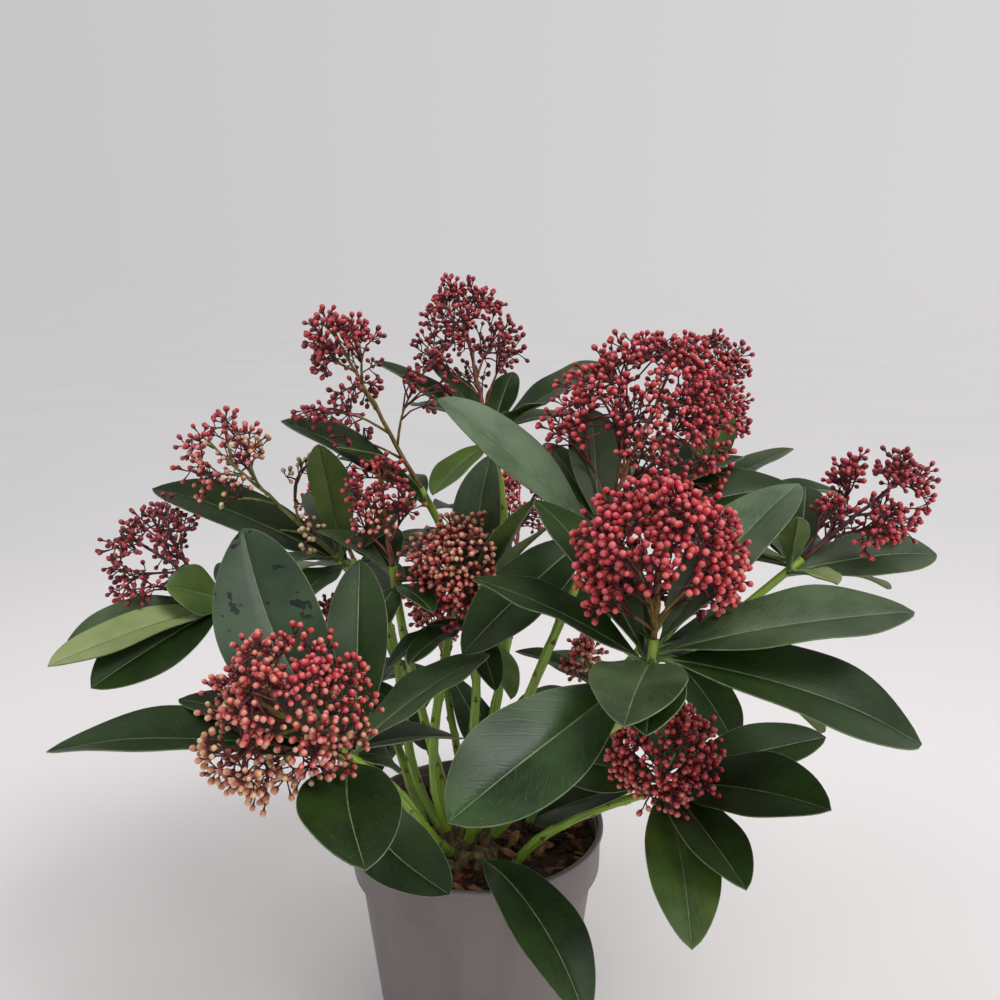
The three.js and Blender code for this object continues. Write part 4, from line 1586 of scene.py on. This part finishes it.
@dataclass
class Blade:
    """A leaf's blade, laid along an arc: a grooved midrib, two rounded halves and a thin pale edge."""

    leaf: Leaf
    base: Vector
    dice: Dice
    stalk: float = 0.06
    taper: float = 0.75
    rib: float = 0.5
    edge: float = 0.26
    skin: float = 0.5
    keel_drop: float = 0.62
    keel_girths: tuple[float, float] = (0.95, 0.16)
    stalk_girths: tuple[float, ...] = (1.3, 1.1, 0.9, 0.6)
    rows: int = 34
    columns: tuple[float, ...] = (0.0, 0.0, 0.2, 0.44, 0.7, 1.0, 1.0)
    map_columns: tuple[float, ...] = (0.0, 0.05, 0.2, 0.44, 0.7, 0.96, 1.0)
    HELD: ClassVar[float] = 1.6

    def __post_init__(self) -> None:
        """Works out the leaf's own frame and its small chance bends."""
        leaf = self.leaf
        self.along = way(leaf.heading, leaf.pitch)
        level = way(leaf.heading + 90, 0)
        upright = self.along.cross(level)
        roll = math.radians(leaf.roll)
        self.across = level * math.cos(roll) + upright * math.sin(roll)
        self.out = self.along.cross(self.across)
        self.sway = (leaf.bow + self.dice(-0.012, 0.012)) * leaf.length
        self.twist = math.radians(self.dice(-7, 7))
        self.wave = self.dice(0.4, 1.1)
        self.waves = self.dice(1.6, 2.8)
        self.phases = (self.dice(0, 6.28), self.dice(0, 6.28))
        self.hook = self.dice(-0.2, 0.5)

    def half_width(self, t: float) -> float:
        """The blade's half-width at a place.

        Args:
            t: The share of the leaf's length.

        Returns:
            The half-width, in millimetres.
        """
        rise = clamp((t - self.stalk) / (1 - self.stalk), 0, 1)
        shoulder = self.leaf.shoulder
        peak = shoulder / (shoulder + self.taper)
        share = rise**shoulder * (1 - rise) ** self.taper
        share /= peak**shoulder * (1 - peak) ** self.taper
        return share * self.leaf.length * self.leaf.width / 2

    def rib_line(self, t: float) -> tuple[float, float]:
        """How far along its chord and how far off it the midrib is at a place.

        Args:
            t: The share of the leaf's length.

        Returns:
            Both, in millimetres.
        """
        half = math.radians(self.leaf.arch) / 2
        radius = self.leaf.length / (2 * math.sin(half))
        turn = half - 2 * half * t
        return radius * (math.sin(half) - math.sin(turn)), radius * (math.cos(turn) - math.cos(half))

    def rib_point(self, t: float, drop: float = 0.0) -> Vector:
        """A point on the midrib, or under it.

        Args:
            t: The share of the leaf's length.
            drop: How far under the midrib it is, in millimetres.

        Returns:
            The point, in millimetres.
        """
        along, lift = self.rib_line(t)
        side = self.sway * math.sin(math.pi * t)
        return self.base + self.along * along + self.across * side + self.out * (lift - drop)

    def is_held(self, solid: BVHTree) -> bool:
        """Tells whether the solid whorl has this leaf.

        Args:
            solid: The surface of the solid whorl, in millimetres.

        Returns:
            True if that surface passes close by the midrib and the tip.
        """
        for t in (0.55, 0.78, 1.0):
            along, lift = self.rib_line(t)
            if solid.find_nearest(self.base + self.along * along + self.out * lift, self.HELD)[0] is None:
                return False
        return True

    def surface(self, column: int, t: float) -> Vector:
        """A point of the upper face.

        Args:
            column: Which line from edge to edge, 0 to 12, with the midrib at 6.
            t: The share of the leaf's length.

        Returns:
            The point, in millimetres.
        """
        last = len(self.columns) - 1
        step = abs(column - last)
        side = -1 if column < last else 1
        rib = self.rib * lerp(1, 0.25, t)
        width = max(self.half_width(t), rib * 1.5 if t < 0.99 else 0.0)
        edge = min(self.edge, width * 0.3)
        reach = {0: 0.0, 1: min(rib, width * 0.5), last - 1: width - edge, last: width}
        x = min(reach.get(step, lerp(rib, width, self.columns[step])), width)
        share = x / width if width else 0.0
        rise = math.tan(math.radians(self.leaf.fold)) * width * (1.24 * share - 0.32 * share * share)
        groove = 0.22 if step == 0 else (0.1 if step == 1 else 0.0)
        phase = self.phases[0 if side < 0 else 1]
        flutter = self.wave * share * share * math.sin(2 * math.pi * self.waves * t + phase)
        flutter *= math.sin(math.pi * t)
        hook = self.hook * self.leaf.length * 0.06 * smooth((t - 0.62) / 0.38) ** 2
        turn = self.twist * (t - 0.35)
        off, up = side * x, rise - groove + flutter
        off, up = off * math.cos(turn) - up * math.sin(turn), off * math.sin(turn) + up * math.cos(turn)
        return self.rib_point(t) + self.across * off + self.out * (up - hook)

    def add_to(self, bm: bmesh.types.BMesh, slots: dict[Any, int]) -> None:
        """Adds the blade to a mesh, with its faces' material numbers and its own map.

        Args:
            bm: The mesh, in millimetres, which has a map named blade.
            slots: The material number of each kind of face.
        """
        layer = bm.loops.layers.uv["blade"]
        middle = len(self.columns) - 1
        sides = 2 * middle
        old = set(bm.faces)
        made = bmesh.ops.create_grid(bm, x_segments=self.rows, y_segments=sides, size=1)["verts"]
        spots = {}
        for vert in made:
            t, column = (vert.co.x + 1) / 2, round((vert.co.y + 1) / 2 * sides)
            spots[vert] = (column, t)
            vert.co = self.surface(column, t)
        faces = [face for face in bm.faces if face not in old]
        upper = slots[self.leaf.tint]
        for face in faces:
            columns = [spots[v][0] for v in face.verts]
            low, high = min(columns), max(columns)
            if low == 0 or high == sides:
                face.material_index = slots["edge"]
            elif middle in (low, high):
                face.material_index = slots["rib"]
            else:
                face.material_index = upper
            for loop in face.loops:
                column, t = spots[loop.vert]
                share = self.map_columns[abs(column - middle)]
                loop[layer].uv = (0.5 + math.copysign(share, column - middle) * 0.5, t)
        tip = [v for v in made if spots[v][1] > 0.999]
        bmesh.ops.remove_doubles(bm, verts=tip, dist=0.01)
        front = [face for face in faces if face.is_valid]
        back = bmesh.ops.extrude_face_region(bm, geom=front, use_keep_orig=True)["geom"]
        under = [item for item in back if isinstance(item, bmesh.types.BMFace)]
        lower = [item for item in back if isinstance(item, bmesh.types.BMVert)]
        bmesh.ops.translate(bm, vec=self.out * -self.skin, verts=lower)
        for face in under:
            if face.material_index == upper:
                face.material_index = slots["under"]
        shell = [face for face in bm.faces if face not in old]
        bmesh.ops.recalc_face_normals(bm, faces=shell)

    def add_rib(self, ribs: Joined, keel_slot: int, stalk_slot: int) -> None:
        """Adds the keel under the midrib, and the leaf's short stalk.

        Args:
            ribs: Takes both.
            keel_slot: The keel's material number.
            stalk_slot: The stalk's material number.
        """
        places = [0.02 + 0.96 * i / 14 for i in range(15)]
        keel = [self.surface(len(self.columns) - 1, t) - self.out * self.keel_drop for t in places]
        ribs.tube(keel, [lerp(*self.keel_girths, t) for t in places], 6, keel_slot)
        stalk = [self.rib_point(t, drop) for t, drop in ((0.05, 0.5), (0.1, 0.7), (0.17, 0.75))]
        ribs.tube([self.base, *stalk], self.stalk_girths, 8, stalk_slot)


class Foliage:
    """The whorls of leaves, one piece for each shoot."""

    WHORL_SPREAD = 4.0

    def __init__(self) -> None:
        """Starts with no leaves."""
        self.trees: list[BVHTree] = []

    def build(self, shoots: Sequence[Shoot]) -> None:
        """Makes every whorl."""
        for shoot in shoots:
            self.whorl(shoot)

    def whorl(self, shoot: Shoot) -> None:
        """Makes one shoot's leaves.

        Args:
            shoot: The shoot. A spare leaf that its solid whorl hasn't is left out.
        """
        bm = bmesh.new()
        bm.loops.layers.uv.new("blade")
        kinds = [*Tint, "under", "rib", "edge"]
        slots = {kind: number for number, kind in enumerate(kinds)}
        ribs = Joined()
        solid = bpy.data.objects[f"leaves_{shoot.name}"].data
        points = [vert.co / MM for vert in solid.vertices]
        held = BVHTree.FromPolygons(points, [polygon.vertices[:] for polygon in solid.polygons])
        for index, leaf in enumerate(shoot.leaves):
            kind = [other for other in shoot.leaves if other.spare == leaf.spare]
            share = kind.index(leaf) / (len(kind) - 1) if len(kind) > 1 else 0.5
            base = shoot.centre + shoot.tip_way * lerp(-self.WHORL_SPREAD, self.WHORL_SPREAD, share)
            blade = Blade(leaf, base, Dice(shoot.seed * 31 + index))
            if leaf.spare and not blade.is_held(held):
                continue
            blade.add_to(bm, slots)
            blade.add_rib(ribs, slots["rib"], len(kinds))
        self.trees.append(BVHTree.FromBMesh(bm))
        name = f"whorl_{shoot.name}"
        mesh = with_joined(mesh_of(name, bm), ribs.mesh(name + "_ribs"))
        finishes = [*(LEAF_TOPS[tint] for tint in Tint), LEAF_UNDER, LEAF_RIB, LEAF_EDGE, LEAF_STALK]
        finish_piece(name, mesh, finishes, [f"leaves_{shoot.name}"])


# ---------------------------------------------------------------- panicles


@dataclass
class Branch:
    """One branch of a head: where it leaves the stalk and where it ends."""

    root: Vector
    tip: Vector


@dataclass
class Panicle:
    """A head of buds: a stalk, branches laid out by the golden angle, branchlets, and stalked buds."""

    shoot: Shoot
    crowd: "Crowd"
    start: float = 7.0
    climb: float = 0.75
    bud: float = 3.6
    ball: float = 1.24
    stalk_foot: float = 1.35
    stalk_tip: float = 0.5
    limb_foot: float = 0.75
    limb_tip: float = 0.42
    limb_rows: int = 6
    solid_stalk: float = 1.9
    spray_girths: tuple[float, ...] = (0.52, 0.44, 0.38)
    bud_stalk_girths: tuple[float, ...] = (0.29, 0.28, 0.48)
    umbel: float = 0.72
    belly: float = 0.6
    bareness: float = 0.74
    skirt_knots: int = 5

    def egg(self, level: float, turn: float, size: float, drop: float = 0.0, flare: float = 1.0) -> Vector:
        """A point on the egg that the head fills.

        Args:
            level: 1 at its top, -1 at its foot.
            turn: Radians round its stalk.
            size: Share of the egg's full size.
            drop: How far the point is moved down the stalk.
            flare: How many times wider the egg is than usual.

        Returns:
            The point, in millimetres.
        """
        head = self.shoot.head
        ring = math.sqrt(max(1 - level * level * (self.belly if level < 0 else 1), 0))
        ring = min(ring * (1 - head.cone * level), 1.0)
        up = head.reach + (head.tall - self.bud) * level * size - drop
        return self.place(up, (head.wide - self.bud) * ring * size * flare, turn)

    def place(self, up: float, out: float, turn: float) -> Vector:
        """A point in the head's own frame.

        Args:
            up: How far up the line of the stalk it is, in millimetres.
            out: How far off that line it is, in millimetres.
            turn: Radians round that line.

        Returns:
            The point, in millimetres.
        """
        side = Vector((0, 0, 1)).cross(self.shoot.tip_way).normalized()
        other = self.shoot.tip_way.cross(side)
        return (
            self.shoot.centre
            + self.shoot.tip_way * up
            + side * (out * math.cos(turn))
            + other * (out * math.sin(turn))
        )

    def branches(self) -> list[Branch]:
        """Lays out the main branches, by the rule that also lays out the solid head.

        Returns:
            The branches on the egg from its top down, and then those of the skirt.
        """
        head, dice = self.shoot.head, Dice(self.shoot.seed)
        stalk_start = WHORL_HALF + NODE_GAP + self.solid_stalk
        found = []
        for i in range(head.branches + head.skirt):
            skirt = i >= head.branches
            turn = math.radians(i * GOLDEN_ANGLE) + dice(-0.25, 0.25)
            level = head.low if skirt else 1 - (i + 0.5) / head.branches * (1 - head.low)
            size = dice(0.9, 1)
            drop = head.tall * (0.35 + 0.4 * (i - head.branches)) if skirt else 0
            tip = self.egg(level, turn, size, drop, head.flare if skirt else 1)
            up = (tip - self.shoot.centre).dot(self.shoot.tip_way)
            out = (self.place(up, 0, 0) - tip).length
            root_up = clamp(up - self.climb * out - 3, stalk_start, head.reach + head.tall * 0.6)
            found.append(Branch(self.place(root_up, 0, 0), tip))
            for _ in range(3):
                dice()
        return found

    def build(self) -> None:
        """Makes the head's stalks and its buds, and leaves out what would run into a leaf or another bud."""
        head = self.shoot.head
        stalks, buds = Joined(), Joined()
        dice = Dice(self.shoot.seed + 70)
        mains = self.branches()
        self.add_axis(stalks)
        used: dict[int, float] = {}
        for knot in self.knots(mains, dice):
            number = min(range(len(mains)), key=lambda n: (mains[n].tip - knot).length)
            fork = dice(0.3, 0.8)
            if self.spray(self.along(mains[number], fork), knot, stalks, buds, dice):
                used[number] = max(used.get(number, 0), fork)
        shares = [i / (self.limb_rows - 1) for i in range(self.limb_rows)]
        for number, fork in used.items():
            path = [self.along(mains[number], fork * share) for share in shares]
            stalks.tube(path, [lerp(self.limb_foot, self.limb_tip, share) for share in shares], 7, 0)
        self.finish("head_stalks", stalks, [head.axis.value, HEAD_BRANCH, BUD_STALK])
        self.finish("buds", buds, [*BUD_SKINS.values(), *BUD_CUPS.values()], "bud")

    def finish(self, kind: str, joined: Joined, finishes: Sequence[Finish], mapped: str = "") -> None:
        """Makes one piece of what has been joined, with a map of that name if one is asked for."""
        name = f"{kind}_{self.shoot.name}"
        finish_piece(name, joined.mesh(name, mapped), finishes, [f"panicle_{self.shoot.name}"])

    def add_axis(self, stalks: Joined) -> None:
        """Adds the head's own stalk, which wanders a little.

        Args:
            stalks: Takes it.
        """
        top = self.shoot.head.reach + self.shoot.head.tall * 0.7
        rows = range(13)
        heights = [lerp(self.start, top, i / 12) for i in rows]
        line = [self.place(heights[i], 0.7 * math.sin(i * 1.3) * (i > 1), i * 2.4) for i in rows]
        stalks.tube(line, [lerp(self.stalk_foot, self.stalk_tip, i / 12) for i in rows], 9, 0)

    def knots(self, mains: Sequence[Branch], dice: Dice) -> list[Vector]:
        """Where the sprays end: over the head's egg, drawn to the main branches, and round its skirt.

        Args:
            mains: The main branches.
            dice: Gives the chance turns and shifts.

        Returns:
            The ends.
        """
        head = self.shoot.head
        knots = []
        for i in range(head.sprays):
            level = 1 - (i + 0.5) / head.sprays * (1 - head.low)
            turn = math.radians(i * GOLDEN_ANGLE) + dice(-0.3, 0.3)
            spot = self.egg(level, turn, dice(0.3 + head.sprays / 600, 0.93))
            if self.is_bare(spot):
                continue
            nearest = min(mains[: head.branches], key=lambda main: (main.tip - spot).length)
            knots.append(spot.lerp(nearest.tip, head.loose * dice(0.5, 1)))
        for main in mains[head.branches :]:
            for _ in range(round(self.skirt_knots * head.flare)):
                knots.append(main.tip + Vector([dice(-7, 7) for _ in range(3)]) * head.flare)
        return knots

    def is_bare(self, spot: Vector) -> bool:
        """Tells whether a spray would be where none grow.

        Args:
            spot: The spray's end.

        Returns:
            True if it is on the head's bare side.
        """
        head = self.shoot.head
        if not head.bare:
            return False
        outward = (spot - self.place(head.reach, 0, 0)).normalized()
        return outward.dot(Vector(head.bare).normalized()) > self.bareness

    def along(self, main: Branch, share: float) -> Vector:
        """A point on a main branch, which starts steep and bends outwards."""
        bend = self.shoot.tip_way * ((main.tip - main.root).length * 0.13 * math.sin(math.pi * share))
        return main.root.lerp(main.tip, share) + bend

    def colour(self, tip: Vector, dice: Dice) -> Bud:
        """The bud colour of a spray: further along the head's run of colours towards its pale side.

        Args:
            tip: The spray's end.
            dice: Gives a chance shift.

        Returns:
            The colour.
        """
        head = self.shoot.head
        middle = self.place(head.reach, 0, 0)
        reach = (tip - middle).dot(Vector(head.pale).normalized()) / max(head.wide, head.tall)
        share = clamp(0.5 + 0.55 * reach + dice(-0.2, 0.2), 0, 0.999)
        return head.buds[int(share * len(head.buds))]

    def spray(self, root: Vector, knot: Vector, stalks: Joined, buds: Joined, dice: Dice) -> bool:
        """Adds one branchlet, which ends in a loose umbel of buds.

        Args:
            root: Where it leaves its branch.
            knot: Where its buds' own stalks leave it.
            stalks: Takes its stalks.
            buds: Takes its buds.
            dice: Gives its chance turns.

        Returns:
            True if it has been added.
        """
        head, shoot = self.shoot.head, self.shoot
        tint = self.colour(knot, dice)
        middle = self.place(head.reach - head.tall * 0.55, 0, 0)
        outward = ((knot - root).normalized() + (knot - middle).normalized() * 1.3).normalized()
        length = (knot - root).length
        path = [root, root.lerp(knot, 0.45) + shoot.tip_way * length * 0.09, knot]
        count = head.umbel + int(dice(0, 3))
        spin = dice(0, 2 * math.pi)
        if self.crowd.crosses(root.lerp(knot, 0.2), knot) or self.crowd.near_plant(knot, 0.6):
            return False
        side = outward.orthogonal().normalized()
        other = outward.cross(side)
        borne = 0
        for k in range(count):
            turn = spin + k * math.radians(GOLDEN_ANGLE) + dice(-0.3, 0.3)
            lean = math.acos(1 - (k + 0.35) / count * self.umbel)
            spread = side * math.cos(turn) + other * math.sin(turn)
            foot = knot.lerp(path[1], dice(0.0, 0.5) if k > 1 else 0.0)
            end = foot + (outward * math.cos(lean) + spread * math.sin(lean)) * dice(3.4, 7.2)
            borne += self.stalked_bud(foot, end, tint, stalks, buds, dice)
        if borne:
            stalks.tube(path, self.spray_girths, 6, 1)
        return borne > 0

    def stalked_bud(
        self, foot: Vector, end: Vector, tint: Bud, stalks: Joined, buds: Joined, dice: Dice,
    ) -> bool:
        """Adds a bud on its own stalk, unless it would touch a leaf, a stem or another bud.

        Args:
            foot: Where its stalk starts.
            end: The bud's middle.
            tint: Its colour.
            stalks: Takes its stalk.
            buds: Takes the bud.
            dice: Gives its size, its stalk's bend and its shade.

        Returns:
            True if it has been added.
        """
        size = self.ball * self.shoot.head.fat * dice(0.82, 1.12)
        crowd = self.crowd
        if not crowd.free(end, size) or crowd.crosses(foot, end) or crowd.near_plant(end, size):
            return False
        crowd.add(end, size)
        way_out = (end - foot).normalized()
        bent = foot.lerp(end, 0.5) + Vector([dice(-0.35, 0.35) for _ in range(3)])
        stalks.tube([foot, bent, end - way_out * size], self.bud_stalk_girths, 5, 2)
        side = way_out.orthogonal().normalized()
        axes = np.array([side * size, way_out.cross(side) * size, way_out * size])
        skin = list(BUD_SKINS).index(tint)
        cup = len(BUD_SKINS) + (1 if tint in (Bud.PEACH, Bud.CREAM) else 0)
        shape = bud_shape()
        buds.add(shape, shape.points @ axes + np.array(end), np.where(shape.slots == 1, cup, skin), dice())
        return True


@cache
def bud_shape() -> Template:
    """The closed bud: an egg of four petals on a narrow foot, which sits in a small darker cup.

    Returns:
        The shape, about 1 in radius.
    """
    bm = bmesh.new()
    bmesh.ops.create_uvsphere(bm, u_segments=8, v_segments=6, radius=1)
    for vert in bm.verts:
        turn = math.atan2(vert.co.y, vert.co.x)
        seam = 1 - 0.035 * math.cos(4 * turn) * (vert.co.z > -0.6)
        swell = (1 + 0.14 * vert.co.z) * seam
        vert.co = Vector((vert.co.x * swell, vert.co.y * swell, vert.co.z * 1.28 - 0.08 * (vert.co.z < -0.9)))
    for face in bm.faces:
        face.material_index = 1 if face.calc_center_median().z < -0.68 else 0
    return Template.of(bm)


class Crowd:
    """Remembers where buds are, and knows the leaves and stems, so that nothing grows into anything."""

    CELL = 4.0

    def __init__(self, trees: Sequence[BVHTree]) -> None:
        """Takes the leaves and stems."""
        self.trees = trees
        self.cells: dict[tuple[int, ...], list[tuple[Vector, float]]] = {}

    def cell(self, point: Vector) -> tuple[int, ...]:
        """The box of space that a point is in."""
        return tuple(math.floor(v / self.CELL) for v in point)

    def add(self, point: Vector, size: float) -> None:
        """Remembers a bud."""
        self.cells.setdefault(self.cell(point), []).append((point, size))

    def free(self, point: Vector, size: float) -> bool:
        """Looks for room for a bud.

        Args:
            point: The bud's middle.
            size: The bud's radius.

        Returns:
            True if no bud is in the way.
        """
        x, y, z = self.cell(point)
        for i in range(27):
            near = self.cells.get((x + i % 3 - 1, y + i // 3 % 3 - 1, z + i // 9 - 1), ())
            if any((spot - point).length < (size + other) * 0.93 for spot, other in near):
                return False
        return True

    def near_plant(self, point: Vector, reach: float) -> bool:
        """True if a leaf or stem is within reach."""
        return any(tree.find_nearest(point, reach)[0] is not None for tree in self.trees)

    def crosses(self, start: Vector, end: Vector) -> bool:
        """True if a straight line runs through a leaf or stem."""
        line = end - start
        return any(tree.ray_cast(start, line.normalized(), line.length)[0] is not None for tree in self.trees)


# ---------------------------------------------------------------- studio


@dataclass
class Studio:
    """A pale floor with painted light and shade under an even pale surround, two broad soft lights from
    above, and the camera.
    """

    eye: tuple[float, float, float] = (0.012, -0.467, 0.389)
    tilt: float = 77.2
    lens: float = 36.0
    floor_radius: float = 40.0
    horizon: float = 0.632
    zenith: float = 0.42
    rightward: float = 0.13
    surround: Colour = (0.985, 0.985, 1.0, 1.0)

    def build(self) -> None:
        """Sets up floor, world, lights and camera, all in metres."""
        bm = bmesh.new()
        bmesh.ops.create_circle(bm, cap_ends=True, segments=96, radius=self.floor_radius)
        mesh = bpy.data.meshes.new("studio_floor")
        bm.to_mesh(mesh)
        bm.free()
        mesh.materials.append(FLOOR_TONE.material())
        floor = bpy.data.objects.new("studio_floor", mesh)
        bpy.context.scene.collection.objects.link(floor)
        self.world()
        self.lamp("key", way(-34, 50), 0.8, 24)
        self.lamp("fill", way(197, 54), 0.38, 30)
        self.softbox((0.45, -0.45, 1.25), 0.8, 4.5)
        self.camera()

    def world(self) -> None:
        """A pale surround, as bright as the floor at eye level, darker overhead and brighter on the right."""
        world = bpy.data.worlds.new("studio")
        nodes = Nodes(world)
        place = nodes.node("ShaderNodeTexCoord").outputs["Generated"]
        rightward = nodes.amount("ShaderNodeSeparateXYZ", None, {0: place})
        upward = nodes.amount("ShaderNodeSeparateXYZ", None, {0: place}, 2)
        rise = {0: upward, 1: 0.2, 2: 0.95, 3: self.horizon, 4: self.zenith}
        bright = nodes.amount("ShaderNodeMapRange", {"interpolation_type": "SMOOTHSTEP"}, rise)
        sockets = {"Color": self.surround, "Strength": rightward * self.rightward + bright}
        background = nodes.node("ShaderNodeBackground", sockets=sockets)
        nodes.node("ShaderNodeOutputWorld", sockets={"Surface": background.outputs[0]})
        bpy.context.scene.world = world
        bpy.context.scene.view_settings.view_transform = "Standard"

    def lamp(self, name: str, towards: Vector, power: float, spread: float) -> None:
        """Adds a far, broad light.

        Args:
            name: The light's name.
            towards: The way from the plant to the light.
            power: Its strength, in watts on each square metre.
            spread: How wide it is, in degrees.
        """
        lamp = bpy.data.lights.new(name, "SUN")
        lamp.angle, lamp.energy = math.radians(spread), power
        light = bpy.data.objects.new(name, lamp)
        light.rotation_euler = (-towards).to_track_quat("-Z", "Y").to_euler()
        bpy.context.scene.collection.objects.link(light)

    def softbox(self, spot: tuple[float, float, float], size: float, power: float) -> None:
        """Adds a near square soft light that faces the plant, and brightens the floor round it.

        Args:
            spot: The light's place.
            size: Its side.
            power: Its strength, in watts.
        """
        lamp = bpy.data.lights.new("softbox", "AREA")
        lamp.size, lamp.energy = size, power
        light = bpy.data.objects.new("softbox", lamp)
        light.location = spot
        light.rotation_euler = (Vector((0, 0, 0.2)) - Vector(spot)).to_track_quat("-Z", "Y").to_euler()
        bpy.context.scene.collection.objects.link(light)

    def camera(self) -> None:
        """Adds the camera, a little above the heads and looking slightly down."""
        data = bpy.data.cameras.new("camera")
        data.sensor_width, data.lens = 36.0, self.lens
        camera = bpy.data.objects.new("camera", data)
        camera.location = self.eye
        camera.rotation_euler = (math.radians(self.tilt), 0, 0)
        bpy.context.scene.collection.objects.link(camera)
        bpy.context.scene.camera = camera


def corners(box: tuple[Vector, Vector]) -> list[list[float]]:
    """A box's two corners as plain lists."""
    return [list(corner) for corner in box]


def main() -> None:
    """Builds the studio, the pot and the plant in order."""
    logging.basicConfig(level=logging.INFO, format="%(name)s %(message)s")
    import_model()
    Studio().build()
    pot, crown = Pot(), Crown()
    pot.build()
    Soil(pot, crown).build()
    crown.build()
    stems, foliage = Stems(crown), Foliage()
    stems.build(SHOOTS)
    foliage.build(SHOOTS)
    crowd = Crowd([*stems.trees, *foliage.trees])
    for shoot in SHOOTS:
        if shoot.head:
            Panicle(shoot, crowd).build()
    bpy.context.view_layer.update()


if __name__ == "__main__":
    main()
